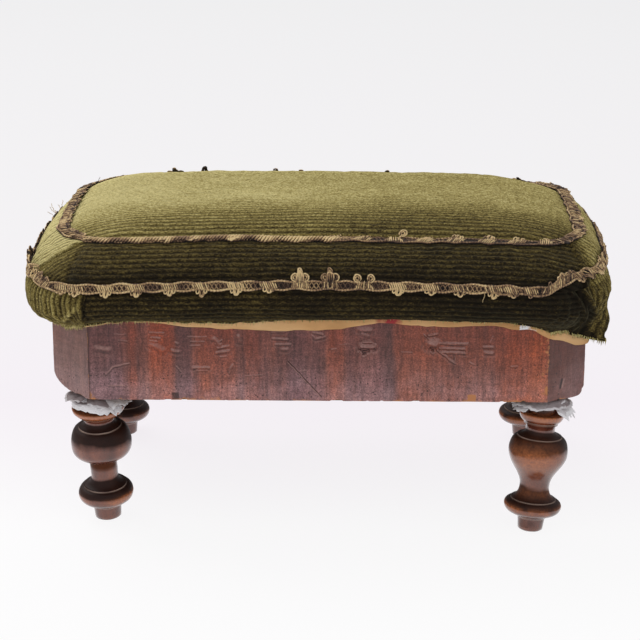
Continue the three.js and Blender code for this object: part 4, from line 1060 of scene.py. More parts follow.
# ---------------------------------------------------------------- calico edge
# Where the ragged front edge of the calico is: x and level
CALICO_X, CALICO_Z = np.array([
    (-196, 154), (-180, 152.5), (-172, 153.5), (-160, 156.5), (-148, 159.5), (-138, 160.5), (-112, 160), (-95, 157),
    (-60, 155.5), (-28, 154.5), (0, 155), (16, 156), (34, 159.5), (46, 161), (62, 159.5), (84, 158), (106, 158.5),
    (126, 159), (136, 156), (142, 156.5), (150, 156), (158, 151.5), (165, 148), (172, 144.5), (180, 139),
    (186, 137.5), (194, 142),
]).T
CALICO_TOP, CALICO_THICK = 166, 0.45
line = band[-1] * np.array([0.9915, 0.9865, 1])
front_part = smooth_step(-line[:, 1], 60, 95)
plain_edge = 157 + 1.5 * wobble(line, 26, 14)
low_edge = np.interp(line[:, 0], CALICO_X, CALICO_Z) * front_part + (1 - front_part) * plain_edge
low_edge = np.minimum(low_edge, hem_line[:, 2] - 0.3) + 0.5 * wobble(line, 5, 15)
flare = 0.3 * (1 + wobble(line, 18, 16))
levels = np.linspace(0, 1, 7)
rings = []
for face_at, order in ((1, levels), (-1, levels[::-1])):
    for t in order:
        ring = line + unit(line * IN_PLAN) * (face_at * CALICO_THICK / 2 + t * flare)[:, None]
        ring += outward[-1] * (5.5 * flap_share[-1] ** 1.5 * t)[:, None]
        ring[:, 2] = CALICO_TOP * (1 - t) + low_edge * t
        rings.append(ring)
faces = np.mod(grid_faces(len(rings) + 1, columns, True), len(rings) * columns).tolist()
calico_edge = add_piece("calico_edge", np.concatenate(rings), faces, calico, ("calico_undercover",))

# ---------------------------------------------------------------- legs
CURVE = 9
LEG_SIDES = 64
LEG_HEIGHT, DOWEL_RADIUS, DOWEL_DEPTH = 102.0, 8.6, 26.0
BASE_LENGTH, BASE_DEPTH, BASE_CANT, BASE_HEIGHT = 380.0, 228.0, 28.0, 62.0
FRONT_INSET = 22.2
# A turning from the sole up: the sole's radius, the bare length at the top, and members, each with its rise and
# end radius. A third number is a hollow's, two more are the radius a member swells to and where
BALL = (9.5, 16.6, [
    (10.4, 10.2), (0, 11.6), (1.4, 11.6), (12.2, 15.9, 20, 0.58), (0.6, 14.8), (0.6, 15.6), (6.4, 9.7, 9.7, 1),
    (14.2, 10.2), (25.9, 16, 22, 0.58), (0.6, 14.9), (0.6, 15.5), (3.4, 10.8, 10.8, 1), (2, 10.8), (0, 12.8),
    (1.4, 13), (6.4, 16.5, 17, 0.88),
])
VASE = (9.0, 18.2, [
    (10.4, 10), (0, 11.4), (1.4, 11.6), (10.8, 16.7, 20.7, 0.6), (0.6, 15.5), (0.6, 16.2), (9.4, 10.6, 10.6, 1),
    (25.4, 21.3, None), (11, 16.5, 21.3, 0), (0.6, 15.5), (0.6, 16), (3.6, 10.5, 10.5, 1), (3, 10.5), (0, 12.2),
    (1.3, 12.4), (5.8, 15.5, 16, 0.88),
])
# Place, side, front or back, turning, how far the foot strays, and how far in the leg stands
LEGS = [
    ("front_left", -1, -1, BALL, 4.9, 10.4, 30.7), ("front_right", 1, -1, VASE, -8.1, -8.5, 28.7),
    ("back_left", -1, 1, BALL, 0.6, -0.6, 30.7), ("back_right", 1, 1, VASE, -0.6, 0.6, 28.7),
]
# The front left leg's ball is flatter below, and its neck higher, than on the other ball leg
BALL_LEVELS, BALL_SHIFTS = (-102, -91, -84, -77, -70, -57, -50, -42, -31), (0, 1, 1.2, 2.2, 3, 3, 0.4, -2, 0)


def leg_frame(side, front, stray_x, stray_y, inset, sides):
    """Where a leg meets the box, its axis, and the directions away from it, evenly round."""
    up = unit(np.array([-stray_x, -stray_y, LEG_HEIGHT]))
    top = np.array([side * (BASE_LENGTH / 2 - inset), front * (BASE_DEPTH / 2 - FRONT_INSET), LEG_HEIGHT])
    x = unit(np.cross([0, 1, 0], up))
    angle = np.arange(sides) / sides * TAU
    return top, up, np.cos(angle)[:, None] * x + np.sin(angle)[:, None] * np.cross(up, x)


def turned_profile(turning, length):
    """Radii and levels of a turning, from the axis at the sole to the axis at the dowel's top."""
    sole, bare, members = turning
    stretch = (length - bare) / sum(m[0] for m in members)
    profile, level, radius = [(0, -length), (sole - 1.2, -length), (sole, -length + 1.0)], -length, sole
    quarter = [(i + 1) / CURVE * math.pi / 2 for i in range(CURVE)]
    for rise, end, *bulge in members:
        rise *= stretch
        if not bulge:
            profile.append((end, level + rise))
        elif bulge == [None]:
            profile += [
                (radius + (end - radius) * (1 - math.cos(a)) / 2, level + rise * a / math.pi)
                for a in [*quarter, *[a + math.pi / 2 for a in quarter]]
            ]
        else:
            by, share = bulge
            turn = level + rise * share
            if share > 0:
                profile += [
                    (radius + (by - radius) * math.sin(a), level + (turn - level) * (1 - math.cos(a)))
                    for a in quarter
                ]
            if share < 1:
                rest = level + rise - turn
                profile += [(by + (end - by) * (1 - math.cos(a)), turn + rest * math.sin(a)) for a in quarter]
        radius, level = end, level + rise
    return np.array([*profile, (DOWEL_RADIUS, level), (DOWEL_RADIUS, DOWEL_DEPTH), (0, DOWEL_DEPTH)])


def merged(mesh, prepare=None, gap=1e-6):
    """Joins points of a mesh that lie on each other, after a step of the caller's on its faces."""
    shell = bmesh.new()
    shell.from_mesh(mesh)
    if prepare:
        bmesh.ops.remove_doubles(shell, verts=shell.verts, dist=1e-6)
        prepare(shell)
    bmesh.ops.remove_doubles(shell, verts=shell.verts, dist=gap)
    shell.to_mesh(mesh)
    shell.free()


def make_leg(place, side, front, turning, stray_x, stray_y, inset, seed):
    top, up, radial = leg_frame(side, front, stray_x, stray_y, inset, LEG_SIDES)
    length = math.hypot(stray_x, stray_y, LEG_HEIGHT)
    profile = turned_profile(turning, length)
    # Long steps are split so that wear and dents have points to move
    fine = [profile[0]]
    for a, b in zip(profile[:-1], profile[1:]):
        parts = max(1, int(np.hypot(*(b - a)) / 1.6))
        fine += [a + (b - a) * (k + 1) / parts for k in range(parts)]
    radius, level = np.array(fine).T
    turned = radius > DOWEL_RADIUS + 0.3
    if place == "front_left":
        level += (2.2 * smooth_step(level, -60, -18) + 1.6 * smooth_step(level, -31, -22)) * turned
        radius *= 1 + 0.12 * hill(level + 14.5, 4) * turned
        level += np.interp(level, BALL_LEVELS, BALL_SHIFTS) * turned
    if place == "front_right":
        level += 3.2 * smooth_step(level, -30, -22) * turned
    points = (top + level[:, None] * up)[:, None] + radius[:, None, None] * radial
    dents = 0.22 * wobble(points, 9, seed) + 0.08 * wobble(points, 3, seed + 1)
    points = points + radial * (dents * (radius > 2)[:, None])[..., None]
    points[..., 2] = np.maximum(points[..., 2], 0)

    # Wear on the discs and the foot's rim, then each front leg's own
    disc = 2.4 * hill(level + length - (19.6 if place == "front_left" else 17.6), 2.2) * (radius > 16)
    worn_side = 0.2 + 0.8 * smooth_step(radial[:, 0], -0.1, 0.5) if place == "front_left" else np.ones(LEG_SIDES)
    wear = disc[:, None] * worn_side + 0.7 * hill(level + length - 1, 2.5)[:, None]
    wear = wear * (0.5 + 0.6 * wobble(points, 16, seed + 2) + 0.4 * wobble(points, 4, seed + 6))
    if place == "front_right":
        sunny = 1.1 * limited(radial @ np.array([-0.35, -0.93, 0]) - 0.1)
        speckle = 0.8 + 0.35 * wobble(points, 3, seed + 9)
        wear += (1.2 * hill(level + 47.5, 10)[:, None] * sunny + 0.34 * hill(level + 73, 4)[:, None]) * speckle
        wear += hill(level + 16.5, 2.6)[:, None] * (1.0 + 0.6 * wobble(points, 5, seed + 8))
    if place == "front_left":
        varnish = smooth_step(level, -62.5, -60) * (1 - smooth_step(level, -52.5, -51))
        wear += 1.1 * hill(level + 15.5, 3.4)[:, None] - varnish[:, None] * smooth_step(-radial[:, 1], 0.1, 0.5)
    # Painted highlights on the rims of the small steps of the turning
    step_highlight = np.zeros(len(level))
    for k in range(1, len(level) - 1):
        in_now, in_next = radius[k] - radius[k - 1], radius[k + 1] - radius[k]
        up_now, up_next = level[k] - level[k - 1], level[k + 1] - level[k]
        if abs(up_next) < 0.8 and 0.4 < in_next < 1.6:
            step_highlight[k] = 0.75 if in_now * up_next < up_now * in_next else 0
            step_highlight[k + 1] = max(step_highlight[k + 1], 0.9)
        else:
            step_highlight[k] = 0
    rim = step_highlight[:, None] * limited(0.7 + 0.4 * wobble(points, 9, seed + 4))
    piece = add_piece(
        f"turned_leg_{place}", points.reshape(-1, 3), flipped(grid_faces(len(level), LEG_SIDES, True)), leg_finish,
        (f"leg_{place}",), {"worn": limited(wear, -1), "rim": rim},
    )
    merged(piece.data)


for number, leg in enumerate(LEGS):
    make_leg(*leg, seed=60 + number * 7)

# ---------------------------------------------------------------- torn paper
# Flaps of each collar: direction in degrees (-90 is the front), width, reach, drop and tone
BACK_FLAPS = [(20 + 45 * k, 24, 17 + 3 * (k % 3), 9 + 2 * (k % 2), 0.6 + 0.1 * (k % 3)) for k in range(8)]
FLAPS = {
    "front_left": [
        (-165, 28, 25, 5, 0.25), (-118, 28, 19, 9, 1.0), (-82, 26, 18, 10, 0.95), (-50, 20, 20, 10, 0.9),
        (-24, 22, 27, 7, 0.75), (-100, 40, 20, 4, 0.35), (-62, 24, 23, 5, 0.3), (60, 26, 17, 11, 0.7),
        (140, 26, 18, 10, 0.7),
    ],
    "front_right": [
        (-128, 22, 25, 5, 0.5), (-152, 20, 26, 6, 0.7), (-94, 34, 18.5, 4.5, 0.35), (-62, 30, 19.5, 5, 0.35),
        (-36, 15, 23, 11, 0.85), (-25, 9, 23, 14, 0.8), (-10, 24, 21, 5, 0.3), (70, 26, 17, 11, 0.7),
        (150, 26, 18, 10, 0.7),
    ],
}
# The sleeve in the socket: radius and level
SLEEVE = ((8.7, 14), (9.2, 14), (9.3, 2), (11.5, -1.6), (11, -2.6), (8.7, -1))
FLAP_ROOT, FLAP_ROWS, FLAP_COLUMNS, SLEEVE_SIDES = 9.5, 20, 26, 32


def make_paper(place, side, front, _, stray_x, stray_y, inset, seed):
    """Paper packed round the dowel: a sleeve in its socket, and torn flaps that stick out below the box."""
    top, up, radial = leg_frame(side, front, stray_x, stray_y, inset, SLEEVE_SIDES)
    heap = Heap()
    sleeve = np.stack([top + radius * radial + level * up for radius, level in SLEEVE])
    quads = np.mod(grid_faces(len(SLEEVE) + 1, SLEEVE_SIDES, True), len(SLEEVE) * SLEEVE_SIDES)
    heap.add(sleeve, quads.tolist(), 0.5)
    t, s = np.meshgrid(np.linspace(0, 1, FLAP_ROWS), np.linspace(-1, 1, FLAP_COLUMNS), indexing="ij")
    for number, (heading, wide, reach, drop, tone) in enumerate(FLAPS.get(place, BACK_FLAPS)):
        spot = np.stack([s * 9 + 31 * number, t * 9 + seed, 0 * t], -1)
        end = spot[-1:] * [1, 0, 1]
        torn = 1 + 0.17 * wobble(end, 7, seed) + 0.08 * wobble(end, 1.5, seed + 1) - 0.16 * np.abs(s[:1]) ** 2.5
        radius = FLAP_ROOT + (reach - FLAP_ROOT) * t * torn
        heading_at = math.radians(heading) + s * wide * 0.5 / (11 + 0.55 * (radius - FLAP_ROOT))
        fold = np.abs(wobble(spot, (7, 12, 9), seed + 3)) - 0.3
        small = np.abs(wobble(spot, 2.4, seed + 4)) - 0.3
        level = -1.3 - 0.35 * number - drop * (t * torn) ** 1.4 + (3.2 * fold + 0.6 * small) * np.minimum(1, 2.2 * t)
        radius = radius + 1.3 * wobble(spot, 6, seed + 5) * t
        points = top + np.stack([np.cos(heading_at), np.sin(heading_at), 0 * t], -1) * radius[..., None]
        points[..., 2] = np.minimum(LEG_HEIGHT + level, LEG_HEIGHT - 0.45 - 0.15 * number)
        thin = 0.1 * grid_normals(points, False)
        edge_tone = tone + 0.5 * smooth_step(t, 0.84, 0.9).ravel()
        heap.add(np.stack([points + thin, points - thin]), sheet_faces(*t.shape), np.tile(edge_tone, 2))
    piece = heap.piece(f"torn_paper_{place}", paper, "paper", (f"paper_collar_{place}",))


for number, leg in enumerate(LEGS):
    make_paper(*leg, seed=200 + 11 * number)

# ---------------------------------------------------------------- veneer and blocks
RAIL_TOP = LEG_HEIGHT + BASE_HEIGHT
VENEER = 1.2
half_x, half_y = BASE_LENGTH / 2, BASE_DEPTH / 2
ORANGE, PURPLE, DARK = (158, 76, 44), (104, 74, 78), (66, 42, 44)
veneer_front = veneer_material("veneer_front", "X", [
    (-118, -102, 2, ORANGE, 0.85), (-134, -128, 1.5, ORANGE, 0.5), (55, 160, 3, (138, 76, 56), 0.75),
    (128, 160, 5, (150, 74, 46), 0.6), (148, 163, 4, (164, 84, 48), 0.55), (46.2, 54.5, 1.8, (78, 56, 57), 0.8),
    (28, 47, 2, PURPLE, 0.6), (-166, -137, 3, PURPLE, 0.7), (-100, -88, 1.5, (84, 58, 62), 0.75),
    (-85, -58, 3, ORANGE, 0.45), (-54, -52.5, 0.6, DARK, 0.7), (-52, -40, 2, ORANGE, 0.3),
    (-20, 4, 3, PURPLE, 0.45), (8, 18, 1.5, ORANGE, 0.45), (20, 26, 1, PURPLE, 0.4),
])
veneer_back = veneer_material("veneer_back", "X", [(-100, -70, 4, ORANGE, 0.5), (30, 50, 4, DARK, 0.5)])
veneer_ends = veneer_material("veneer_ends", "Y", [(-50, -30, 4, ORANGE, 0.5), (20, 45, 4, PURPLE, 0.5)])
veneer_cants = veneer_material(
    "veneer_cants", "X", [(-200, -100, 10, (132, 104, 96), 0.6), (100, 200, 10, (86, 46, 36), 0.9)], 0.6
)


def worn_corner(points):
    """The box's outer bottom corners are rubbed round, most at the front left."""
    p = np.array(points, float)
    x, y, z = np.moveaxis(p, -1, 0)
    fallen = smooth_step(x, half_x - BASE_CANT, half_x - 6) * smooth_step(-y, 30, half_y - BASE_CANT)
    z -= 3.0 * fallen * smooth_step(-z, -LEG_HEIGHT - 26, -LEG_HEIGHT)
    for side, front, run, rise in ((-1, -1, 20, 13), (1, -1, 5, 4), (-1, 1, 14, 9), (1, 1, 12, 8)):
        u, w = half_x - side * x, z - LEG_HEIGHT
        near = smooth_step(front * y, half_y - BASE_CANT - 22, half_y - BASE_CANT + 4)
        size = np.hypot(limited((run - u) / run), limited((rise - w) / rise))
        here = (side * x > 0) & (u < run) & (w < rise)
        keep = 1 - (1 - np.where(size > 1, 1 / np.maximum(size, 1e-6), 1)) * near
        x[...] = np.where(here, side * (half_x - run + (run - u) * keep), x)
        z[...] = np.where(here, LEG_HEIGHT + rise - (rise - w) * keep, z)
    return p


def gouges(u, w, marks):
    """How deep the surface is cut at (u, w) by strokes given as (u0, w0, u1, w1, half width, depth)."""
    total = np.zeros_like(u)
    for u0, w0, u1, w1, wide, deep in marks:
        run = np.array([u1 - u0, w1 - w0])
        t = limited(((u - u0) * run[0] + (w - w0) * run[1]) / max(run @ run, 1e-6))
        off = np.hypot(u - u0 - t * run[0], w - w0 - t * run[1])
        cut = 0.3 * deep * hill(off - 2.3 * wide, wide) - deep * hill(off, 1.25 * wide)
        total = np.where(np.abs(cut) > np.abs(total), cut, total)
    return total


# Strokes on the front: a positive depth raises a bruise, a negative one sinks a mark that is darkened; the deep
# negative ones under the two big bruises are painted shadows, the long thin one a dark scratch
FRONT_MARKS = [
    (31.8, 146, 37.2, 145.9, 0.9, 1.0), (31.4, 143, 38.8, 142.8, 1.5, 1.3), (30.8, 140.2, 38.6, 140.7, 0.8, -1.1),
    (31.4, 138.6, 35.4, 139, 0.9, -1.1), (31.9, 136.9, 33, 137.2, 0.8, -1.0), (29.2, 155.2, 36.8, 154.7, 1.2, 0.6),
    (31, 151.9, 35.2, 150.4, 0.9, 0.4), (79.6, 145.4, 82.2, 145, 2.2, 1.1), (79.2, 141.5, 82, 141.4, 0.8, -1.0),
    (80.3, 140, 80.8, 139.6, 0.7, -0.9), (84.3, 145.3, 104.6, 144.9, 0.7, 0.5),
    (85.7, 141.6, 103.9, 141.2, 0.6, 0.45), (87.8, 138.6, 103.9, 138.3, 0.7, 0.5),
    (104.6, 145.3, 103.9, 138.6, 0.7, 0.4), (84.3, 140.1, 90.6, 134.9, 0.6, 0.5),
    (90.6, 134.9, 96.2, 130.5, 0.6, 0.5), (96.9, 137.9, 96.2, 130.5, 0.5, 0.4),
    (80.1, 157.8, 81.5, 148.2, 0.4, 0.3), (74.5, 151.9, 78.7, 147.5, 0.4, 0.35),
    (77.8, 150.9, 83.4, 151.9, 0.7, 0.5), (116.6, 142.7, 122.2, 142.7, 0.7, 0.5),
    (117.3, 138.6, 122.2, 138.3, 0.9, 0.6), (122.9, 150.4, 120.8, 145.3, 0.4, 0.3),
    (-117.8, 151.9, -108, 151.5, 0.5, 0.35), (-117.1, 148.2, -110.8, 147.9, 0.5, 0.4),
    (-117.8, 146, -112.9, 145.3, 0.5, 0.3), (-116.4, 143.1, -109.4, 138.6, 1.5, 0.5),
    (-155.7, 140.1, -146.5, 138.6, 1.3, 0.5), (-149.3, 120.9, -144.4, 126.1, 0.45, 0.4),
    (-144.4, 126.1, -133.2, 129, 0.45, 0.4), (-147.2, 112.1, -137.4, 112.1, 0.4, 0.3),
    (-143, 150.4, -134.6, 150.4, 0.35, 0.25), (-140.2, 146, -133.9, 145.3, 0.35, 0.25),
    (-102.3, 138.6, -98.1, 137.9, 0.9, 0.5), (-99.5, 144.5, -98.1, 143.8, 0.7, 0.4),
    (-91.1, 149, -78.5, 149, 0.4, 0.3), (-89.7, 145.3, -79.9, 145.3, 0.4, 0.3),
    (-89.7, 142.3, -82.7, 142.7, 0.4, 0.3), (-72.9, 147.5, -68.7, 143.1, 1, 0.5),
    (-70.1, 140.8, -63, 142.3, 0.7, 0.45), (-71.5, 137.2, -63, 138.6, 0.7, 0.45),
    (-72.2, 143.8, -67.3, 146.7, 0.5, 0.35), (-68.7, 134.2, -64.5, 134.9, 0.4, 0.3), (-56, 149.7, -55, 146, 1, 0.5),
    (-32.2, 152.7, -22.4, 153.4, 0.5, 0.35), (-31.5, 148.2, -21, 147.5, 0.6, 0.45),
    (-29.4, 143.8, -19.5, 143.8, 0.6, 0.45), (-25.2, 140.1, -21.7, 140.1, 0.9, 0.5),
    (-2.7, 152.7, 2.9, 151.2, 0.7, 0.45), (-0.6, 148.2, 4.3, 149.7, 0.7, 0.45),
    (-4.1, 150.4, -1.3, 147.5, 0.5, 0.35), (-88.3, 126.1, -77.1, 126.1, 0.8, 0.45),
    (-85.5, 123.9, -78.5, 123.9, 0.5, 0.3), (-62.3, 122.4, -60.2, 128.3, 0.6, 0.4),
    (-99.5, 126.8, -96.7, 123.1, 0.4, 0.3), (-21, 131.2, 2.2, 105.4, 0.28, -0.47),
    (15.5, 143.8, 22.5, 144.2, 0.3, 0.2), (-12.5, 123.9, -8.3, 124.6, 0.35, 0.25),
    (-51.1, 120.2, -39.2, 120.9, 0.35, 0.3), (9.2, 140.1, 12.7, 140.8, 0.4, 0.3),
    (136.2, 128.3, 139.7, 128.3, 0.5, 0.3), (106.7, 131.2, 109.5, 129.8, 0.4, 0.3),
    (59, 138.6, 66, 138.3, 0.35, 0.25),
]
# Smudges on the front: x, level, half width, half height and darkness
SMUDGES = ((99.7, 125.7, 8, 4, 0.34), (58.8, 106.5, 5, 1.6, 0.4), (96.3, 107, 6, 2, 0.34), (-137, 104, 9, 2, 0.3))


def patch(x, z, at_x, at_z, wide, tall, grow):
    """A patch with rather sharp edges: 1 inside, 0 outside."""
    return limited(3 * (1 + grow - np.maximum(np.abs(x - at_x) / wide, np.abs(z - at_z) / tall)))


def make_panel(place, start, end, material, spacing, marks, seed):
    """A sheet of veneer between two plan points, with dents, chips along its bottom edge and worn corners."""
    start, end = np.array([start, end], float)
    length = float(np.linalg.norm(end - start))
    ahead = (end - start) / length
    out = np.array([ahead[1], -ahead[0], 0])
    start, length = start + ahead * 0.08, length - 0.16
    nu, nw = max(6, round(length / spacing)), round(BASE_HEIGHT / spacing)
    u, w = np.meshgrid(np.linspace(0, length, nu + 1), np.linspace(RAIL_TOP, LEG_HEIGHT, nw + 1))
    flat = np.stack([start[0] + ahead[0] * u, start[1] + ahead[1] * u, w], -1)
    along = flat[..., 0 if abs(ahead[0]) > 0.5 else 1]
    # Bruises that have lifted the veneer, with ragged outlines
    ragged = limited(0.95 + 0.42 * wobble(flat, 2.5, seed + 8), 0.5, 1.25)
    across, up = along + 0.45 * wobble(flat, 3, seed + 6), w + 0.35 * wobble(flat, 2.4, seed + 7)
    cuts = -1.4 * ragged * gouges(across, up, marks)
    edge_wear = np.exp(-((w - LEG_HEIGHT) / 1.6)) + 0.7 * np.exp(-np.minimum(u, length - u))
    edge_wear *= limited(wobble(flat, 7, seed + 2) + 0.35)
    relief = 0.10 * wobble(flat * [1, 1, 3], 16, seed) + 0.05 * wobble(flat * [0.6, 0.6, 3], 4, seed + 1)
    face = flat + out * (relief + cuts - 0.45 * edge_wear)[..., None]
    inner = flat - out * VENEER
    # Bites out of the bottom edge
    bite = 3 * limited(wobble(flat * [1, 1, 0.2], 5, seed + 4) - 0.45) * np.exp(-(w - LEG_HEIGHT) / 3.0)
    for sheet in (face, inner):
        sheet[..., 2] += bite
    face, inner = worn_corner(face), worn_corner(inner)
    worn = limited(edge_wear * 1.1)
    # Painted light on the bruises: shade in the sunk marks and along the lower edges, highlights along the upper
    # edges and on the raised ones
    shade = np.gradient(cuts, axis=0) / (u[0, 1] - u[0, 0])
    dirt_and_shade = 2.4 * np.maximum(-cuts - 0.4, 0) - 0.5 * np.maximum(cuts - 0.25, 0) - 1.15 * shade
    dirt_and_shade = limited(dirt_and_shade, -0.8)
    if place == "front":
        # The painted highlights are set aside here and put back after the real wear and dirt
        glint = np.minimum(dirt_and_shade, 0)
        right_edge = limited(np.exp(-(160.5 - along) / 3.6) * limited(0.5 + 0.8 * wobble(flat, 2.4, 77)))
        split = 0.8 * hill(along + 161, 1.0) * smooth_step(-w, -112, -104)
        rub = np.exp(-((w - LEG_HEIGHT) / 0.9)) * smooth_step(along, 74, 80) * smooth_step(-along, -96, -88)
        for mark in (patch(along, w, 108.5, 104.5, 2.7, 2.6, 0.3), right_edge * 0.8, split, rub):
            worn = np.maximum(worn, mark)
        dirt_and_shade = np.maximum(dirt_and_shade, 0.9 * hill(along + 161.4, 0.5))
        for x, z, wide, tall, dark in SMUDGES:
            smudge = hill(along - x, wide) * hill(w - z, tall) * (0.7 + 0.5 * wobble(flat, 3, 78))
            dirt_and_shade = np.maximum(dirt_and_shade, dark * smudge)
        chip = patch(along, w, -100.8, 105, 2.2, 2.4, 0.2)
        face = face - out * (0.9 * chip)[..., None]
        dirt_and_shade = np.maximum(dirt_and_shade, np.minimum(chip, 0.8))
        dirt_and_shade = np.where(dirt_and_shade < 0.12, dirt_and_shade + glint, dirt_and_shade)
    if place == "cant_front_right":
        # A dark streak, and a painted highlight along its edge
        t = limited((w - 110.5) / 5.5)
        beside, above_end = along - 1.2 * t, w - 110.5 - 5.5 * t
        dirt_and_shade = np.maximum(dirt_and_shade, 1.3 * hill(np.hypot(beside - 171.4, above_end), 0.8))
        dirt_and_shade = dirt_and_shade - 0.8 * hill(np.hypot(beside - 172.9, above_end), 0.6)
    rows, cols = face.shape[:2]
    n, rim = rows * cols, np.roll(grid_rim(rows, cols)[::-1], cols)
    loop = list(range(n, n + len(rim)))
    walls = [(rim[k], rim[k - 1], loop[k - 1], loop[k]) for k in range(len(rim))]
    quads = grid_faces(rows, cols) + walls + [loop[::-1]]
    piece = add_piece(
        f"worn_veneer_{place}", np.concatenate([face.reshape(-1, 3), inner.reshape(-1, 3)[rim]]), quads, material,
        (f"veneer_{place}",),
        {key: np.append(values, np.zeros(len(rim))) for key, values in (("worn", worn), ("dirt_and_shade", dirt_and_shade))},
    )
    piece.modifiers.new("edges", "EDGE_SPLIT").split_angle = math.radians(50)


# Round the box, counter-clockwise from the front: place, material, spacing of the points and marks
cant_x, cant_y = half_x - BASE_CANT, half_y - BASE_CANT
CORNERS = [
    (-cant_x, -half_y), (cant_x, -half_y), (half_x, -cant_y), (half_x, cant_y), (cant_x, half_y), (-cant_x, half_y),
    (-half_x, cant_y), (-half_x, -cant_y),
]
PANELS = {
    "front": (0, veneer_front, 0.48, FRONT_MARKS), "back": (4, veneer_back, 2.0, ()),
    "right": (2, veneer_ends, 2.0, ()), "left": (6, veneer_ends, 2.0, ()),
    "cant_front_right": (1, veneer_cants, 0.6, ()), "cant_back_right": (3, veneer_cants, 1.6, ()),
    "cant_back_left": (5, veneer_cants, 1.6, ()), "cant_front_left": (7, veneer_cants, 1.2, ()),
}
for number, (place, (corner, *look)) in enumerate(PANELS.items()):
    make_panel(place, CORNERS[corner], CORNERS[(corner + 1) % 8], *look, 300 + 9 * number)


def wear_block(shell):
    """Rubs a corner block's corner round, once its edges are short enough."""
    for _ in range(5):
        long_edges = [e for e in shell.edges if e.calc_length() > 4.5 * MM]
        if long_edges:
            bmesh.ops.subdivide_edges(shell, edges=long_edges, cuts=1)
    bmesh.ops.triangulate(shell, faces=shell.faces)
    moved = worn_corner([np.array(v.co) / MM for v in shell.verts])
    for vertex, spot in zip(shell.verts, moved):
        vertex.co = Vector(spot) * MM


for place, *_ in LEGS:
    block = link(f"worn_block_{place}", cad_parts[f"corner_block_{place}"].data.copy())
    merged(block.data, wear_block, 1e-5)
    block.data.materials.clear()
    block.data.materials.append(pine)
    finished(block, (f"corner_block_{place}",))

# ---------------------------------------------------------------- webbing and hessian
STRAP_WIDE, STRAP_THICK, CROSSING_RUN, CLEAR = 50.0, 1.6, 14.0, 0.3
inset = VENEER + CLEAR
long_at = [s * 0.53 * (half_y - inset - 44) for s in (-1, 1)]
short_at = [s * 0.69 * (half_x - inset - 50) for s in (-1, 0, 1)]


def make_strap(kind, number, half_span, offset, crossings, seed):
    """A strap of webbing that waves over and under those it crosses. crossings lists where, and 1 for over."""
    s = np.linspace(-half_span, half_span, 150)[None]
    t = np.linspace(-STRAP_WIDE / 2, STRAP_WIDE / 2, 25)[:, None]
    z = RAIL_TOP + CLEAR + STRAP_THICK / 2 + 0 * s
    for at, over in crossings:
        beyond = limited((np.abs(s - at) - STRAP_WIDE / 2) / CROSSING_RUN)
        z = z + over * (STRAP_THICK + CLEAR) / 2 * (1 + np.cos(math.pi * beyond)) / 2
    line = np.stack([s + 0 * t, offset + t + 0 * s, z + 0 * t], -1)
    line[..., 1] += 0.35 * wobble(line * [1, 0, 0], 20, seed)
    rise = np.array([0, 0, 1]) * (STRAP_THICK / 2 - 0.12 + 0.12 * np.cos(TAU * t / 2.0) + 0 * s)[..., None]
    points = np.concatenate([(line + rise).reshape(-1, 3), (line - rise).reshape(-1, 3)])
    if kind == "short":
        points = np.stack([2 * offset - points[:, 1], points[:, 0], points[:, 2]], 1)
    stripe = np.repeat(np.abs(np.abs(t) - 17) < 2.2, s.size)
    piece = add_piece(
        f"jute_strap_{kind}_{number}", points, flipped(sheet_faces(len(t), s.size)), jute,
        (f"webbing_{kind}_{number}",), {"stripe": np.tile(stripe, 2)},
    )


for kind, half, places, crossed, parity, seed in (
    ("long", half_x, long_at, short_at, 0, 400), ("short", half_y, short_at, long_at, 1, 410),
):
    for i, offset in enumerate(places):
        crossings = [(at, 1 if (i + j + parity) % 2 else -1) for j, at in enumerate(crossed)]
        make_strap(kind, i + 1, half - inset - 5, offset, crossings, seed + i)

cloth_low, cloth_high = (np.array(corner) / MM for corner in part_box("hessian"))
gx, gy = np.meshgrid(np.linspace(cloth_low[0], cloth_high[0], 120), np.linspace(cloth_low[1], cloth_high[1], 72))
HESSIAN_CANT, HESSIAN_THICK = 23.6, 0.5
excess = np.maximum(0, np.abs(gx) + np.abs(gy) - (cloth_high[0] + cloth_high[1] - HESSIAN_CANT)) / 2
gx, gy = np.sign(gx) * (np.abs(gx) - excess), np.sign(gy) * (np.abs(gy) - excess)
gz = (cloth_low[2] + cloth_high[2]) / 2 + 0.12 * wobble(np.stack([gx, gy, 0 * gx], -1), 12, 500)
sheet = np.stack([gx, gy, gz], -1).reshape(-1, 3)
points = np.concatenate([sheet + [0, 0, HESSIAN_THICK / 2], sheet - [0, 0, HESSIAN_THICK / 2]])
hessian_sheet = add_piece("hessian_sheet", points, flipped(sheet_faces(*gx.shape)), hessian, ("hessian",))

# ---------------------------------------------------------------- carried-over solids
for name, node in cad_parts.items():
    finish = pine if name.endswith("_rail") else tack if name.startswith("webbing_tack") else None
    if finish:
        node.data.materials.clear()
        node.data.materials.append(finish)

# ---------------------------------------------------------------- camera, floor and light
def turned_along(thing, place, direction):
    thing.location = place
    thing.rotation_mode = "QUATERNION"
    thing.rotation_quaternion = direction.to_track_quat("-Z", "Y")
    return thing


camera_data = bpy.data.cameras.new("camera")
camera_data.sensor_width, camera_data.lens = 36, 135
camera_data.clip_start, camera_data.clip_end = 0.05, 60
pitch, yaw = math.radians(18.1), math.radians(1.1)
ahead = Vector((-math.sin(yaw) * math.cos(pitch), math.cos(yaw) * math.cos(pitch), -math.sin(pitch)))
TARGET, DISTANCE = Vector((-0.0007, 0, 0.1249)), 1.7975
bpy.context.scene.camera = turned_along(link("camera", camera_data), TARGET - ahead * DISTANCE, ahead)

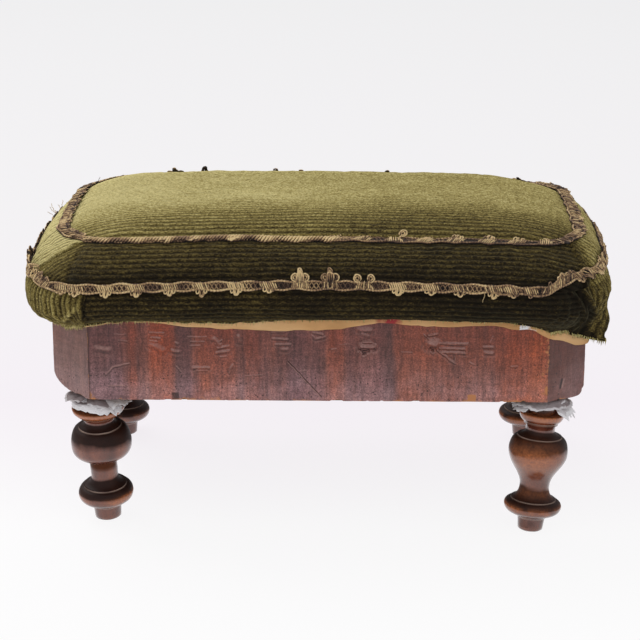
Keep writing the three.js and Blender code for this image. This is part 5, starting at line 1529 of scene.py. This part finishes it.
FLOOR_REACH = 14
floor_mesh = bpy.data.meshes.new("floor")
floor_corners = [(x * FLOOR_REACH, y * FLOOR_REACH, 0) for x, y in ((-1, -1), (1, -1), (1, 1), (-1, 1))]
floor_mesh.from_pydata(floor_corners, [], [(0, 1, 2, 3)])
floor_paint = Paint("floor", Roughness=0.9, Specular_IOR_Level=0.05)
floor_paint.colour((0.93, 0.92, 0.93, 1))
# Seen directly or in a gloss, the floor is mostly plain white, and keeps a faint share of the shadow
# The emitted colour carries painted shade: a lilac shadow under the stool, and grey that deepens towards the back
shade_towards_back = floor_paint.span(floor_paint.axis("Y"), -0.3, 3.0)
glow = floor_paint.node("Emission", Strength=1, Color=floor_paint.shades(
    shade_towards_back, (0.0, 1), (0.06, 1, 0.995, 1), (0.14, 0.93, 0.885, 0.93), (0.3, 0.9, 0.885, 0.9), (1.0, 0.83, 0.835, 0.835)
))
rays = floor_paint.node("LightPath").outputs
seen = floor_paint.math("MAXIMUM", rays["Is Camera Ray"], rays["Is Glossy Ray"])
# From below it can be seen through, so the underside can be looked at
surface = floor_paint.shader.outputs["BSDF"]
for share, other in (
    (floor_paint.times(seen, 0.9), glow.outputs["Emission"]),
    (floor_paint.node("NewGeometry").outputs["Backfacing"], floor_paint.node("BsdfTransparent").outputs["BSDF"]),
):
    blend = floor_paint.node("MixShader", Fac=share)
    floor_paint.put(blend.inputs[1], surface)
    floor_paint.put(blend.inputs[2], other)
    surface = blend.outputs["Shader"]
floor_paint.put(floor_paint.nodes["Material Output"].inputs["Surface"], surface)
floor_mesh.materials.append(floor_paint.material)
link("floor", floor_mesh)

KEY_PLACE, KEY_SIZE, KEY_POWER = Vector((-1.3, 1.3, 2.7)), 2.4, 52
key = bpy.data.lights.new("key", "AREA")
key.size, key.energy = KEY_SIZE, KEY_POWER
turned_along(link("key", key), KEY_PLACE, Vector((0, 0, 0.15)) - KEY_PLACE)

world = bpy.data.worlds.new("world")
bpy.context.scene.world = world
world.use_nodes = True
sky, sky_links = world.node_tree.nodes, world.node_tree.links
direction, parts = sky.new("ShaderNodeTexCoord"), sky.new("ShaderNodeSeparateXYZ")
from_front = sky.new("ShaderNodeMapRange")
for setting, number in (("From Min", 0.6), ("From Max", -1.0), ("To Min", 0.42), ("To Max", 0.85)):
    from_front.inputs[setting].default_value = number
sky_links.new(direction.outputs["Generated"], parts.inputs[0])
sky_links.new(parts.outputs["Y"], from_front.inputs["Value"])
sky_links.new(from_front.outputs["Result"], sky["Background"].inputs["Strength"])
sky["Background"].inputs["Color"].default_value = (0.97, 0.97, 1.0, 1)
bpy.context.scene.view_settings.view_transform = "Standard"

bpy.context.view_layer.update()
